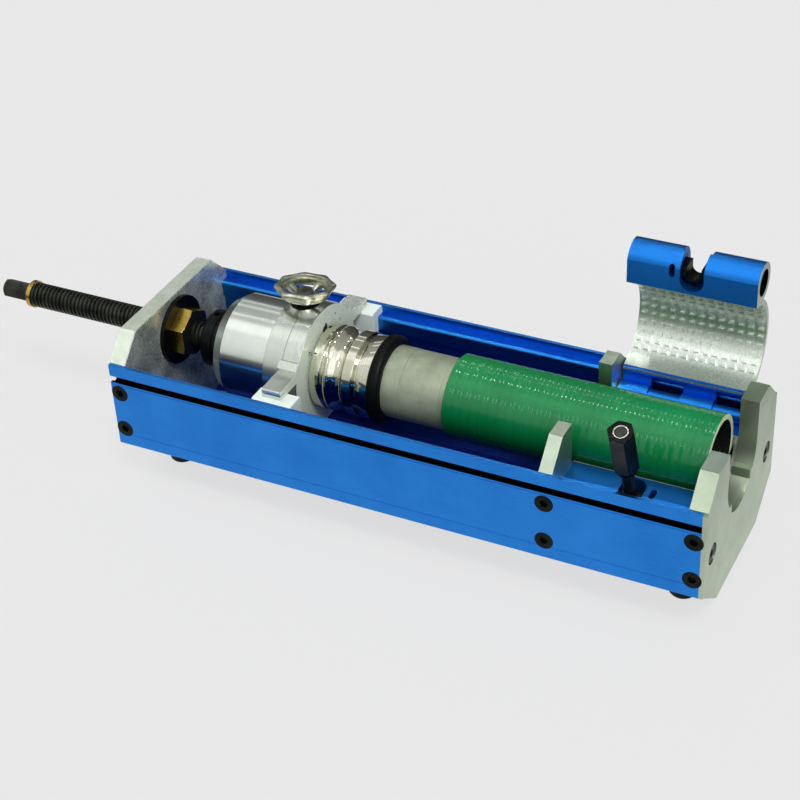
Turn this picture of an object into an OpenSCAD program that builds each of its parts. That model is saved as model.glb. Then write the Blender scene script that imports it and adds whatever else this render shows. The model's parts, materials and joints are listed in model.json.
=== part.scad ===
// Bench press that pushes a barbed fitting into the end of a hose held in toothed jaws.
// Drawn in millimetres, +X along the screw towards the hose, +Z up.

/* [Frame] */
// Length of the side rails
rail_length = 658; // [500:1:900]
// Height of the side rails
rail_height = 101.6; // [80:0.1:130]
// Distance over the outer faces of the rails
frame_width = 219; // [180:1:260]
// Thickness of the rail wall
rail_wall = 12; // [9:0.5:16]
// Thickness of the upper lip of a rail
lip_thickness = 4; // [3:0.5:6]
// Height of the lip over the ledge
lip_height = 9.2; // [7:0.1:12]
// Depth of the rounded nose from the outer face
nose_depth = 15; // [13:0.5:18]
// Corner radius of the nose
nose_radius = 4; // [2:0.5:5]
// Distance of the lower edge of the nose from the rail top
nose_drop = 29.6; // [26:0.1:34]
// Mouth height of the outside slot
slot_mouth = 8; // [6:0.5:9]
// Height of the slot cavity
slot_cavity = 13.6; // [11:0.1:14]
// Distance of the middle of the outside slot from the rail top
slot_drop = 17.6; // [16:0.1:20]
// Thickness of the screw end plate
end_plate_thickness = 19.05; // [15:0.05:25]
// Height of the top edge of the plates over the rails
plate_rise = 28.1; // [20:0.1:36]
// Inset of the flat top of the plates
plate_top_inset = 31.2; // [25:0.1:40]
// Depth of the plates under the rails
plate_drop = 35; // [25:1:45]
// Inset of the flat lower edge of the plates
plate_low_inset = 46; // [38:1:60]
// Thickness of the floor sheet
pan_thickness = 3; // [2:0.5:4]
// Height of the floor flanges on the rails
pan_flange = 12; // [8:1:14]
// Distance of the screw axis from the rail top
axis_drop = 15.5; // [12:0.1:19]
// Diameter of a rubber foot
foot_diameter = 29; // [24:1:36]
// Height of a rubber foot
foot_height = 18; // [12:1:24]
// Distance of the feet from the frame ends
foot_end_inset = 35; // [28:1:60]
// Distance of the feet from the frame sides
foot_side_inset = 64; // [55:1:80]
// Diameter of the side screw heads
side_screw_head = 19.8; // [14:0.1:22]
// Diameter of the side screw shanks
side_screw_shank = 10; // [8:0.5:12]
// Depth of the side screw countersinks
side_screw_sink = 5; // [4:0.5:6]
// Length of the side screws
side_screw_length = 29; // [22:1:36]
// Diameter of the cap screw heads
cap_screw_head = 19; // [14:0.5:21]
// Length of the cap screws
cap_screw_length = 17.5; // [14:0.5:24]

/* [Drive screw] */
// Diameter of the screw
screw_diameter = 28.2; // [24:0.1:30]
// Length of the screw outside the frame
screw_reach = 177.5; // [120:0.5:240]
// Length of the driving hexagon
hex_length = 33.9; // [20:0.1:45]
// Width over the flats of the driving hexagon
hex_flats = 19.05; // [16:0.05:22]
// Diameter of the nut flange
nut_flange_diameter = 77.2; // [60:0.1:84]
// Thickness of the nut flange
nut_flange_thickness = 5; // [4:0.5:7]
// Width over the flats of the drive nut
nut_flats = 49; // [44:0.5:54]
// Length of the drive nut hexagon
nut_length = 16.5; // [12:0.5:24]
// Diameter of the thrust collar
collar_diameter = 63; // [50:1:70]

/* [Ram and chuck] */
// Diameter of the ram
ram_diameter = 115; // [100:1:122]
// Rear face of the ram
ram_rear_x = 93; // [88:0.5:120]
// Length of the ram
ram_length = 69; // [50:0.1:90]
// Length of the chuck ring
chuck_length = 41.5; // [30:0.1:60]
// Diameter of the chuck ring
chuck_diameter = 133; // [124:1:138]
// Distance from the ram to the joint line of the ring
joint_line = 22; // [15:0.1:30]
// Width of a wing over its own length
wing_width = 22; // [18:1:26]
// Thickness of a wing bar
wing_thickness = 10; // [8:0.5:12]
// Distance of a wing end from the outer face
wing_end = 11.5; // [8:0.5:16]
// Length of a slider
slider_length = 45.5; // [38:0.5:60]
// Diameter of a slider screw
slider_screw = 5; // [4:0.5:6]
// Length of a slider screw
slider_screw_length = 29; // [24:1:34]
// Inner edge of a slider from the outer face
slider_depth = 27; // [24:0.5:32]
// Gap of the sliders beside the nose and the lip
slider_gap = 0.3; // [0.1:0.05:0.6]

/* [Handwheel] */
// Position of the handwheel along the frame
wheel_x = 178.2; // [178:0.1:188]
// Lean of the wheel axis to the back
wheel_tilt = 8; // [0:0.5:12]
// Diameter over the lobes
wheel_diameter = 66.4; // [55:0.1:80]
// Distance of the rim from the hose axis
rim_reach = 83.5; // [80:0.5:96]
// Height of the rim
rim_height = 13; // [9:0.1:15]
// Number of lobes
lobes = 8; // [5:1:10]
// Diameter of the spindle
spindle_diameter = 9; // [7:0.5:11]
// Diameter of the spindle bushing
bushing_diameter = 28.4; // [20:0.2:30]

/* [Fitting and hose] */
// Diameter of the polished collars
fitting_diameter = 91.4; // [80:0.1:100]
// Radial play of the shank in the hose
shank_play = 0.35; // [0.3:0.05:0.8]
// Far end of the shank
shank_end_x = 400; // [380:1:440]
// Length of the seal ring on the fitting
seal_length = 12.8; // [8:0.1:16]
// Diameter of the seal ring on the fitting
seal_diameter = 94.8; // [88:0.1:100]
// Outside diameter of the hose
hose_diameter = 90.6; // [85:0.1:95]
// Wall of the hose
hose_wall = 6.5; // [5:0.1:9]
// Length of the shank inside the hose
hose_overlap = 41; // [20:1:70]
// Distance of the hose end from the end yoke
hose_setback = 5.5; // [2:0.5:12]

/* [Clamp] */
// Length of the bay between the yokes
jaw_bay = 138; // [110:1:170]
// Thickness of the middle yoke
middle_yoke_thickness = 14.2; // [12:0.1:20]
// Depth of the end yoke inside the rails
end_web = 14.5; // [12:0.5:20]
// Thickness of the flange over the rail ends
end_flange = 4.5; // [3:0.5:6]
// Play of the hose in the slot of the end yoke
end_slot_play = 0.5; // [0.3:0.1:4]
// Play of the hose in the slot of the middle yoke
middle_slot_play = 9; // [4:0.5:12]
// Distance from the hose to the shell of a jaw
jaw_gap = 4.2; // [2:0.1:6]
// Wall of the jaw shells
jaw_wall = 6; // [4:0.5:9]
// Height of the jaw edges over the hose axis plane
jaw_edge = 6.6; // [5:0.1:9]
// Play between the hose and the teeth of the lower jaw
lower_play = 0.3; // [0.2:0.05:1]
// Play between the hose and the teeth of the closed upper jaw
upper_play = 0.5; // [0.3:0.05:1]
// Lengthwise pitch of the teeth
tooth_pitch = 10.3; // [8:0.1:14]
// Gap between two teeth along the hose
tooth_gap = 4.7; // [2:0.1:6]
// Width of a tooth around the hose
tooth_width = 3.6; // [2.5:0.1:6]
// Angle of the first row of teeth from the hinge side
first_row = 36; // [16:1:40]
// Angle between two rows of teeth
row_angle = 10.4; // [9:0.1:12]
// Number of tooth rows
tooth_rows = 12; // [8:1:12]
// Radius of the clamp bosses
boss_radius = 20.8; // [18:0.1:23]
// Distance of the boss middles outside the jaw shells
boss_offset = 12.5; // [10:0.5:15]
// Height distance of the bosses from the hose axis
boss_z = 26; // [24:0.1:30]
// Radius of the boss bores
boss_bore = 13.9; // [10:0.1:15]
// Inset of the bar ends in the boss of the upper jaw
bar_inset = 4; // [1:0.5:12]
// Width of the notch for the swing bolt
notch_width = 24.6; // [22:0.1:30]
// Distance of the hinge outside the jaw shells
hinge_offset = 20.5; // [18:0.5:24]
// Height of the hinge under the hose axis
hinge_drop = 1.6; // [0:0.1:4]
// Opening angle of the upper jaw
open_angle = 90.5; // [80:0.5:100]
// Diameter of the hinge pin
hinge_pin_diameter = 10; // [8:0.5:12]
// Outside diameter of the upper knuckles
knuckle_diameter = 22; // [19:0.5:24]
// Outside diameter of the lower knuckles
low_knuckle_diameter = 15.2; // [14:0.2:19]
// Distance of the solid jaw strips from the hinge
strip_reach = 20; // [15:0.5:22]
// Diameter of the swing bolt
bolt_diameter = 12.7; // [10:0.1:14]
// Lean of the swing bolt
bolt_lean = 19; // [10:0.5:24]
// Width over the flats of the clamp nut
clamp_nut_flats = 23.8; // [20:0.1:25]
// Lower end of the clamp nut on the bolt
clamp_nut_start = 60; // [58:0.5:66]
// Length of the clamp nut
clamp_nut_length = 60; // [40:1:70]

/* [Fits] */
// Radial clearance of turning and sliding shafts
running_gap = 0.06; // [0.02:0.01:0.1]
// Clearance of fixed screws in their holes
screw_gap = 0.03; // [0.01:0.01:0.1]
// End gap between turning faces
end_gap = 0.3; // [0.1:0.05:0.5]

/* [Hidden] */
mid_y = frame_width / 2;
ledge_z = rail_height - lip_height;
nose_bottom_z = rail_height - nose_drop;
slot_z = rail_height - slot_drop;
plate_top_z = rail_height + plate_rise;
axis_z = rail_height - axis_drop;
low_screw_z = 0.205 * rail_height;
high_screw_z = nose_bottom_z - 5;
screw_r = screw_diameter / 2;
ram_r = ram_diameter / 2;
chuck_r = chuck_diameter / 2;
hose_r = hose_diameter / 2;
hose_bore_r = hose_r - hose_wall;
shank_r = hose_bore_r - shank_play;
jaw_inner = hose_r + jaw_gap;
jaw_outer = jaw_inner + jaw_wall;
lower_tip = hose_r + lower_play;
upper_tip = hose_r + upper_play;
end_slot_half = hose_r + end_slot_play;
middle_slot_half = hose_r + middle_slot_play;
boss_y = jaw_outer + boss_offset;
hinge_y = jaw_outer + hinge_offset;
ram_front_x = ram_rear_x + ram_length;
chuck_front_x = ram_front_x + chuck_length;
end_yoke_x = rail_length - end_web;
middle_yoke_x = end_yoke_x - jaw_bay - middle_yoke_thickness;
end_face_x = rail_length + end_flange;
plate_mid_x = end_plate_thickness / 2;
middle_mid_x = middle_yoke_x + middle_yoke_thickness / 2;
jaw_start_x = middle_yoke_x + middle_yoke_thickness;
jaw_length = end_yoke_x - jaw_start_x;
bolt_x = jaw_start_x + jaw_length / 2;
upper_start_x = jaw_start_x + 1.8;
upper_length = jaw_length - 3.6;
hose_start_x = shank_end_x - hose_overlap;
hose_end_x = end_yoke_x - hose_setback;
tooth_cols = 13;
spokes = 4;
lobe_turn = 30;
spoke_turn = 75;
tooth_span = tooth_cols * tooth_pitch - tooth_gap;
tooth_start_x = (jaw_start_x + end_yoke_x - tooth_span) / 2;
hinge_at_y = mid_y + hinge_y;
hinge_at_z = axis_z - hinge_drop;
boss_at_y = mid_y - boss_y;
low_boss_z = axis_z - boss_z;
top_boss_z = axis_z + boss_z;
knuckle_length = jaw_length / 4;
knuckle_back = 2;
tip_x = -screw_reach - hex_length;
foot_low_z = -plate_drop - foot_height;
open_mid_y = hinge_at_y - hinge_y * cos(open_angle) + hinge_drop * sin(open_angle);
jaw_back_y = open_mid_y + jaw_outer;
nut_top = clamp_nut_start + clamp_nut_length;
nut_front_y = boss_at_y - nut_top * sin(bolt_lean) - clamp_nut_flats / 2 * cos(bolt_lean);
shift_x = (tip_x + end_face_x) / 2;
shift_y = (nut_front_y + jaw_back_y) / 2;
spot_reach = chuck_r - 11.2;
hub_low = spot_reach + 11.5;
hub_height = 9.5;
spot_r = min(bushing_diameter / 2 + 3.1, wheel_x - ram_front_x - 0.6);
spigot_r = 38;
spigot_x = chuck_front_x - 35.5;
pad_reach = spigot_r + 0.1;
wing_low_z = rail_height + 0.4;
seal_x = chuck_front_x + 69.7;
seal_end_x = seal_x + seal_length;
eps = 0.02;

// Moves the drawing so that the origin is under the middle of the whole object
module placed() { translate([-shift_x, -shift_y, -foot_low_z]) children(); }

// Draws a side view in Y and Z and extrudes it along X
module along_x(x0, len) {
  translate([x0, 0, 0]) rotate([90, 0, 90]) linear_extrude(height = len) children();
}

// Turns a profile of (distance along X, radius) about the hose axis
module turned(pts) {
  translate([0, mid_y, axis_z]) rotate([0, 90, 0]) rotate([0, 0, 90])
    rotate_extrude($fn = 96) polygon([for (p = pts) [p[1], p[0]]]);
}

module rod_x(x0, len, y, z, r, fn = 64) {
  translate([x0, y, z]) rotate([0, 90, 0]) cylinder(h = len, r = r, $fn = fn);
}

module tube_x(x0, len, r_out, r_in) {
  difference() {
    rod_x(x0, len, mid_y, axis_z, r_out, 96);
    rod_x(x0 - 1, len + 2, mid_y, axis_z, r_in, 96);
  }
}

module both_sides() {
  children();
  translate([0, frame_width, 0]) mirror([0, 1, 0]) children();
}

// Frame sections
module rail_block() {
  square([lip_thickness, rail_height]);
  square([rail_wall, ledge_z]);
  difference() {
    union() {
      translate([nose_depth - nose_radius, ledge_z - nose_radius])
        circle(r = nose_radius, $fn = 48);
      translate([0, nose_bottom_z + nose_radius])
        square([nose_depth, ledge_z - nose_bottom_z - 2 * nose_radius]);
      translate([nose_depth - nose_radius, nose_bottom_z + nose_radius])
        circle(r = nose_radius, $fn = 48);
      translate([0, nose_bottom_z])
        square([nose_depth - nose_radius, ledge_z - nose_bottom_z]);
    }
  }
}

module rail_section() {
  difference() {
    rail_block();
    translate([-1, slot_z - slot_mouth / 2]) square([5, slot_mouth]);
    translate([3.5, slot_z - slot_cavity / 2]) square([7, slot_cavity]);
    translate([-1, slot_z - slot_mouth / 2 - 2.6]) square([1.4, 0.8]);
    translate([-1, 13.6]) square([1.3, 0.6]);
  }
}

module outline(top, inset, low) {
  polygon([[inset, top], [frame_width - inset, top],
    [frame_width - lip_thickness, top - inset + lip_thickness],
    [frame_width - lip_thickness, ledge_z - 10], [frame_width - 2, ledge_z - 10],
    [frame_width - 2, 0],
    [frame_width - plate_low_inset, low], [plate_low_inset, low], [2, 0],
    [2, ledge_z - 10], [lip_thickness, ledge_z - 10], [lip_thickness, top - inset + lip_thickness]]);
}

module side_rails() {
  rail_block();
  translate([frame_width, 0]) mirror([1, 0]) rail_block();
}

module plate_section(top, inset, low) {
  difference() {
    intersection() {
      outline(top, inset, low);
      translate([0, -60]) square([frame_width, 200]);
    }
    side_rails();
  }
}

module pan_section() {
  t = pan_thickness;
  polygon([[rail_wall, pan_flange], [rail_wall + t, pan_flange], [rail_wall + t, 1],
    [plate_low_inset + 1, -plate_drop + t], [frame_width - plate_low_inset - 1, -plate_drop + t],
    [frame_width - rail_wall - t, 1], [frame_width - rail_wall - t, pan_flange],
    [frame_width - rail_wall, pan_flange], [frame_width - rail_wall, -1],
    [frame_width - plate_low_inset, -plate_drop], [plate_low_inset, -plate_drop],
    [rail_wall, -1]]);
}

module each_side_screw() {
  for (x = [plate_mid_x, middle_mid_x, end_yoke_x + end_web / 2], z = [low_screw_z, high_screw_z])
    translate([x, 0, z]) rotate([-90, 0, 0]) children();
}

module side_screw_holes() {
  both_sides() each_side_screw() {
    translate([0, 0, -1]) cylinder(h = side_screw_length + 3, r = side_screw_shank / 2 + screw_gap,
      $fn = 32);
    translate([0, 0, -eps]) cylinder(h = side_screw_sink + 2 * eps,
      r1 = side_screw_head / 2 + 2 * screw_gap, r2 = side_screw_shank / 2 + 2 * screw_gap, $fn = 48);
  }
}

module front_rail() {
  color([0.14, 0.41, 0.74]) placed() difference() {
    along_x(0, rail_length) rail_section();
    side_screw_holes();
  }
}

module rear_rail() {
  color([0.14, 0.41, 0.74]) placed() difference() {
    along_x(0, rail_length) translate([frame_width, 0]) mirror([1, 0]) rail_section();
    side_screw_holes();
  }
}

module foot_places() {
  for (x = [foot_end_inset, rail_length - foot_end_inset],
       y = [foot_side_inset, frame_width - foot_side_inset])
    translate([x, y, -plate_drop]) children();
}

module floor_pan() {
  color([0.05, 0.16, 0.36]) placed() difference() {
    along_x(end_plate_thickness, end_yoke_x - end_plate_thickness) pan_section();
    foot_places() translate([0, 0, -5]) cylinder(h = 12, r = 3 + screw_gap, $fn = 32);
  }
}

module screw_end_plate() {
  color([0.55, 0.6, 0.55]) placed() difference() {
    along_x(0, end_plate_thickness) plate_section(plate_top_z, plate_top_inset, -plate_drop);
    rod_x(-1, end_plate_thickness + 2, mid_y, axis_z, 20 + screw_gap);
    side_screw_holes();
  }
}

module middle_yoke() {
  color([0.7, 0.72, 0.68]) placed() difference() {
    along_x(middle_yoke_x, middle_yoke_thickness) difference() {
      intersection() {
        plate_section(plate_top_z - 1.7, plate_top_inset, -plate_drop);
        translate([0, 0]) square([frame_width, 200]);
      }
      pan_section();
      translate([mid_y, axis_z]) circle(r = middle_slot_half, $fn = 96);
      translate([mid_y - middle_slot_half, axis_z]) square([2 * middle_slot_half, 60]);
    }
    side_screw_holes();
    rod_x(middle_yoke_x - 1, middle_yoke_thickness + 2, hinge_at_y, hinge_at_z,
      hinge_pin_diameter / 2 + screw_gap, 48);
  }
}

module end_slot() {
  translate([mid_y - end_slot_half, axis_z]) square([2 * end_slot_half, 60]);
  intersection() {
    translate([mid_y, axis_z]) circle(r = end_slot_half, $fn = 96);
    translate([0, axis_z - 27.6]) square([frame_width, 60]);
  }
  intersection() {
    translate([mid_y, axis_z]) circle(r = end_slot_half + 2.4, $fn = 96);
    translate([mid_y - 29, axis_z - end_slot_half - 20]) square([58, end_slot_half]);
  }
}

module cap_screw_places() {
  for (p = [[24, 39], [frame_width - 24, 42]])
    translate([end_face_x, p[0], p[1]]) rotate([0, -90, 0]) children();
}

module clamp_end_yoke() {
  color([0.63, 0.68, 0.6]) placed() difference() {
    union() {
      along_x(end_yoke_x, end_web) difference() {
        plate_section(plate_top_z, plate_top_inset, -plate_drop);
        end_slot();
      }
      along_x(rail_length, end_flange) difference() {
        union() {
          outline(plate_top_z, plate_top_inset, -plate_drop);
          square([40, rail_height - 1]);
          translate([frame_width - 40, 0]) square([40, rail_height - 1]);
        }
        end_slot();
      }
    }
    cap_screw_places() {
      translate([0, 0, -1]) cylinder(h = 9, r = cap_screw_head / 2 + 2, $fn = 48);
      translate([0, 0, -1]) cylinder(h = cap_screw_length + 3, r = cap_screw_head / 4 + screw_gap, $fn = 32);
    }
    side_screw_holes();
    rod_x(end_yoke_x - 1, 7, hinge_at_y, hinge_at_z, hinge_pin_diameter / 2 + screw_gap, 48);
  }
}

module side_screws() {
  color([0.15, 0.3, 0.5]) placed() both_sides() each_side_screw() difference() {
    union() {
      cylinder(h = side_screw_sink, r1 = side_screw_head / 2, r2 = side_screw_shank / 2, $fn = 48);
      translate([0, 0, side_screw_sink - 1]) cylinder(h = side_screw_length - side_screw_sink + 1,
        r = side_screw_shank / 2, $fn = 32);
    }
    translate([0, 0, -1]) cylinder(h = 0.7 * side_screw_sink + 1, r = 0.46 * side_screw_shank, $fn = 6);
  }
}

module yoke_cap_screws() {
  color([0.6, 0.62, 0.6]) placed() cap_screw_places() difference() {
    union() {
      translate([0, 0, 1]) cylinder(h = 7, r = cap_screw_head / 2, $fn = 48);
      translate([0, 0, 7]) cylinder(h = cap_screw_length - 6, r = cap_screw_head / 4, $fn = 32);
    }
    cylinder(h = 5, r = 0.24 * cap_screw_head, $fn = 6);
  }
}

module rubber_feet() {
  color([0.03, 0.03, 0.04]) placed() foot_places() difference() {
    union() {
      translate([0, 0, -foot_height]) cylinder(h = 2, r1 = foot_diameter / 2 - 1.5,
        r2 = foot_diameter / 2, $fn = 64);
      translate([0, 0, -foot_height + 2]) cylinder(h = foot_height - 2, r = foot_diameter / 2, $fn = 64);
    }
    translate([0, 0, -foot_height - 1]) cylinder(h = 9, r = 7, $fn = 48);
    translate([0, 0, -foot_height]) cylinder(h = 30, r = 3 + screw_gap, $fn = 32);
  }
}

module foot_screws() {
  color([0.5, 0.52, 0.5]) placed() foot_places() {
    translate([0, 0, -foot_height + 8 - 4]) difference() {
      cylinder(h = 4, r = 5.5, $fn = 48);
      translate([0, 0, -1]) cylinder(h = 3.4, r = 2.8, $fn = 6);
    }
    translate([0, 0, -foot_height + 8 - eps]) cylinder(h = foot_height - 8 + 6, r = 3, $fn = 32);
    translate([0, 0, pan_thickness]) difference() {
      cylinder(h = 5, r = 5.8, $fn = 6);
      translate([0, 0, -1]) cylinder(h = 7, r = 3 - eps, $fn = 32);
    }
  }
}

// Drive nut and screw
module nut_flange() {
  color([0.05, 0.06, 0.06]) placed() difference() {
    rod_x(end_plate_thickness, nut_flange_thickness, mid_y, axis_z, nut_flange_diameter / 2, 96);
    rod_x(end_plate_thickness - 1, nut_flange_thickness + 2, mid_y, axis_z, 20 + screw_gap);
  }
}

module drive_nut() {
  color([0.6, 0.54, 0.24]) placed() difference() {
    union() {
      rod_x(1, end_plate_thickness + nut_flange_thickness - 1, mid_y, axis_z, 20);
      intersection() {
        translate([end_plate_thickness + nut_flange_thickness, mid_y, axis_z]) rotate([0, 90, 0])
          cylinder(h = nut_length, r = nut_flats / sqrt(3), $fn = 6);
        translate([end_plate_thickness + nut_flange_thickness, mid_y, axis_z]) rotate([0, 90, 0])
          union() {
            cylinder(h = nut_length - 2, r = nut_flats / sqrt(3) + 1, $fn = 64);
            translate([0, 0, nut_length - 2]) cylinder(h = 2, r1 = nut_flats / sqrt(3) + 1,
              r2 = nut_flats / 2 + 1, $fn = 64);
          }
      }
    }
    rod_x(-1, 60, mid_y, axis_z, screw_r + running_gap);
  }
}

module drive_screw() {
  color([0.16, 0.18, 0.16]) placed() union() {
    rod_x(-screw_reach + 1.6, screw_reach + ram_rear_x + 20 - 1.6, mid_y, axis_z, screw_r);
    translate([-screw_reach, mid_y, axis_z]) rotate([0, 90, 0])
      cylinder(h = 1.6, r1 = screw_r - 1.6, r2 = screw_r, $fn = 64);
  }
}

module drive_hex() {
  color([0.2, 0.21, 0.2]) placed() translate([tip_x, mid_y, axis_z]) rotate([0, 90, 0])
    intersection() {
      cylinder(h = hex_length, r = hex_flats / sqrt(3), $fn = 6);
      union() {
        cylinder(h = 1.5, r1 = hex_flats / 2 - 0.5, r2 = hex_flats / 2 + 1.6, $fn = 48);
        translate([0, 0, 1.5]) cylinder(h = hex_length, r = hex_flats / 2 + 1.6, $fn = 48);
      }
    }
}

module screw_ring() {
  color([0.62, 0.55, 0.25]) placed() tube_x(-screw_reach + 2, 5, screw_r + 1.5, screw_r + screw_gap);
}

module thrust_collar() {
  x0 = 64;
  color([0.06, 0.07, 0.07]) placed() difference() {
    turned([[x0, screw_r + screw_gap], [x0, collar_diameter / 2 - 2], [x0 + 2, collar_diameter / 2],
      [x0 + 13, collar_diameter / 2], [x0 + 14, collar_diameter / 2 - 1.2],
      [x0 + 15, collar_diameter / 2], [ram_rear_x - end_gap - 1, collar_diameter / 2],
      [ram_rear_x - end_gap, collar_diameter / 2 - 1], [ram_rear_x - end_gap, screw_r + screw_gap]]);
    translate([x0 + 8, mid_y, axis_z + 20]) cylinder(h = 15, r = 3, $fn = 32);
  }
}

module thrust_bearing() {
  color([0.75, 0.76, 0.74]) placed() tube_x(ram_rear_x, 6, 26, screw_r + running_gap);
}

// Ram, chuck and sliders
module ram_body() {
  r = ram_r;
  x0 = ram_rear_x;
  color([0.86, 0.89, 0.84]) placed() difference() {
    turned([[x0, 0], [x0, 50], [x0 + 11.5, r - 0.6], [x0 + 12.1, r], [ram_front_x - 0.6, r],
      [ram_front_x, r - 0.6], [ram_front_x, 0]]);
    rod_x(x0 - 1, 7, mid_y, axis_z, 26 + screw_gap);
    rod_x(x0 - 1, 24, mid_y, axis_z, screw_r + running_gap);
    rod_x(x0 - 1, 9, mid_y - 32, axis_z + 22, 2.5, 32);
  }
}

module wing() {
  x0 = chuck_front_x - wing_width;
  along_x(x0, wing_width) difference() {
    polygon([[wing_end, wing_low_z], [mid_y - 40, wing_low_z], [mid_y - 36, rail_height + 20.4],
      [mid_y - 57.5, rail_height + 20.4], [mid_y - 64, rail_height + 14.4],
      [mid_y - 64, wing_low_z + wing_thickness], [wing_end + 1, wing_low_z + wing_thickness],
      [wing_end, wing_low_z + wing_thickness - 1]]);
    translate([wing_end - 1, wing_low_z + wing_thickness / 2 - 0.6]) square([9, 1.2]);
  }
}

module chuck_ring() {
  r = chuck_r;
  x0 = ram_front_x;
  x1 = chuck_front_x;
  xj = ram_front_x + joint_line;
  color([0.8, 0.83, 0.79]) placed() difference() {
    union() {
      turned([[x0, 0], [x0, r - 0.6], [x0 + 0.6, r], [xj - 0.5, r], [xj, r - 0.9], [xj + 0.5, r],
        [x1 - 0.8, r], [x1, r - 0.8], [x1, 0]]);
      difference() {
        both_sides() wing();
        rod_x(x0, 80, mid_y, axis_z, r - 3);
      }
    }
    rod_x(spigot_x - 0.1, 60, mid_y, axis_z, spigot_r + screw_gap, 96);
    on_spindle(spot_reach) cylinder(h = 20, r = spot_r, $fn = 64);
    on_spindle(0) cylinder(h = pad_reach + 7.2, r = 6 + running_gap, $fn = 48);
    on_spindle(0) cylinder(h = 80, r = spindle_diameter / 2 + running_gap, $fn = 48);
    rod_x(x1 - 8, 10, mid_y + 1.5, axis_z + 43, 3.6, 32);
    rod_x(x1 - 6, 10, mid_y + 48.5 * cos(134), axis_z + 48.5 * sin(134), 1.2, 24);
    rod_x(x1 - 6, 10, mid_y + 42 * cos(134), axis_z + 42 * sin(134), 1.2, 24);
    rod_x(x1 - 6, 10, mid_y + 51 * cos(45), axis_z + 51 * sin(45), 1.5, 24);
    both_sides() slider_screw_place() {
      translate([0, 0, -40]) cylinder(h = 48, r = slider_screw / 2 + screw_gap, $fn = 32);
    }
  }
}

module slider_screw_place() {
  translate([chuck_front_x - wing_width / 2, 21.6, wing_low_z]) children();
}

module slider() {
  g = slider_gap;
  difference() {
    along_x(chuck_front_x - 31, slider_length) polygon([
      [lip_thickness + g, ledge_z], [lip_thickness + g, wing_low_z - 1.5],
      [lip_thickness + g + 1.5, wing_low_z], [slider_depth - 1.5, wing_low_z],
      [slider_depth, wing_low_z - 1.5], [slider_depth, nose_bottom_z + 4],
      [slider_depth - 2, nose_bottom_z + 2], [nose_depth + 2, nose_bottom_z + 2],
      [nose_depth + g, nose_bottom_z + 4], [nose_depth + g, ledge_z]]);
    slider_screw_place() {
      translate([0, 0, -60]) cylinder(h = 70, r = slider_screw / 2 + screw_gap, $fn = 32);
      translate([0, 0, -60]) cylinder(h = 64 - 22 * slider_screw_length / 29,
        r = 0.88 * slider_screw, $fn = 32);
    }
  }
}

module front_slider() { color([0.87, 0.92, 0.9]) placed() slider(); }

module rear_slider() {
  color([0.87, 0.92, 0.9]) placed()
    translate([0, frame_width, 0]) mirror([0, 1, 0]) slider();
}

module slider_screws() {
  color([0.5, 0.52, 0.5]) placed() both_sides() slider_screw_place() difference() {
    union() {
      translate([0, 0, -22 * slider_screw_length / 29])
        cylinder(h = 4 * slider_screw_length / 29, r = 0.84 * slider_screw, $fn = 32);
      translate([0, 0, -20 * slider_screw_length / 29])
        cylinder(h = 27 * slider_screw_length / 29, r = slider_screw / 2, $fn = 32);
    }
    translate([0, 0, -22 * slider_screw_length / 29 - 1])
      cylinder(h = 3.4, r = 0.44 * slider_screw, $fn = 6);
  }
}

// Fitting and hose
module hose_fitting() {
  f = fitting_diameter / 2;
  s = shank_r;
  c = chuck_front_x;
  bore = s - 3.95;
  color([0.74, 0.78, 0.68]) placed() turned([[spigot_x, 30], [spigot_x, spigot_r - 1],
    [spigot_x + 1, spigot_r], [c + 3.1, spigot_r], [c + 3.1, f - 1], [c + 3.9, f], [c + 15.3, f],
    [c + 16, f - 0.8], [c + 16.6, f - 0.8], [c + 18, f + 0.4], [c + 23, f + 0.6], [c + 26.3, f - 1.2],
    [c + 27.9, f - 3.3], [c + 29.5, f - 4.5], [c + 38, f - 4.7], [c + 39.3, f - 3.5],
    [c + 39.9, f - 0.8], [c + 40.7, f], [c + 50.5, f], [c + 51.3, f - 0.8], [c + 51.3, f - 4.9],
    [c + 55.9, f - 4.9], [c + 55.9, f - 1.3], [c + 56.7, f - 0.7], [c + 68.3, f - 0.7],
    [c + 68.9, f + 0.6], [seal_x, f + 0.6], [seal_x, s + 0.25], [seal_end_x + 20.3, s + 0.25],
    [seal_end_x + 20.6, s], [shank_end_x - 48.3, s], [shank_end_x - 48.1, s - 0.3],
    [shank_end_x - 47.7, s - 0.3], [shank_end_x - 47.5, s], [shank_end_x - 2, s],
    [shank_end_x, s - 1.4], [shank_end_x, bore], [spigot_x + 8, bore], [spigot_x + 3, 30]]);
}

module fitting_seal() {
  s = shank_r + 0.25 + screw_gap;
  r = seal_diameter / 2;
  color([0.03, 0.03, 0.03]) placed() turned([[seal_x + 0.02, s], [seal_x + 0.02, r - 0.8],
    [seal_x + 1, r], [seal_end_x - 1.4, r], [seal_end_x, r - 1.2], [seal_end_x, s]]);
}

module hose() {
  color([0.13, 0.48, 0.27]) placed() turned([[hose_start_x, hose_bore_r], [hose_start_x, hose_r],
    [hose_end_x, hose_r], [hose_end_x, hose_bore_r]]);
}

// Lock pad, spindle and handwheel, all on one leaning axis
module on_spindle(reach) {
  translate([wheel_x, mid_y, axis_z]) rotate([-wheel_tilt, 0, 0]) translate([0, 0, reach]) children();
}

module spindle_bushing() {
  color([0.1, 0.1, 0.09]) placed() on_spindle(spot_reach) difference() {
    union() {
      cylinder(h = 8, r = bushing_diameter / 2, $fn = 64);
      translate([0, 0, 8]) cylinder(h = 1.5, r1 = bushing_diameter / 2, r2 = bushing_diameter / 2 - 1.5,
        $fn = 64);
    }
    translate([0, 0, -1]) cylinder(h = 20, r = spindle_diameter / 2 + running_gap, $fn = 48);
  }
}

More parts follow.
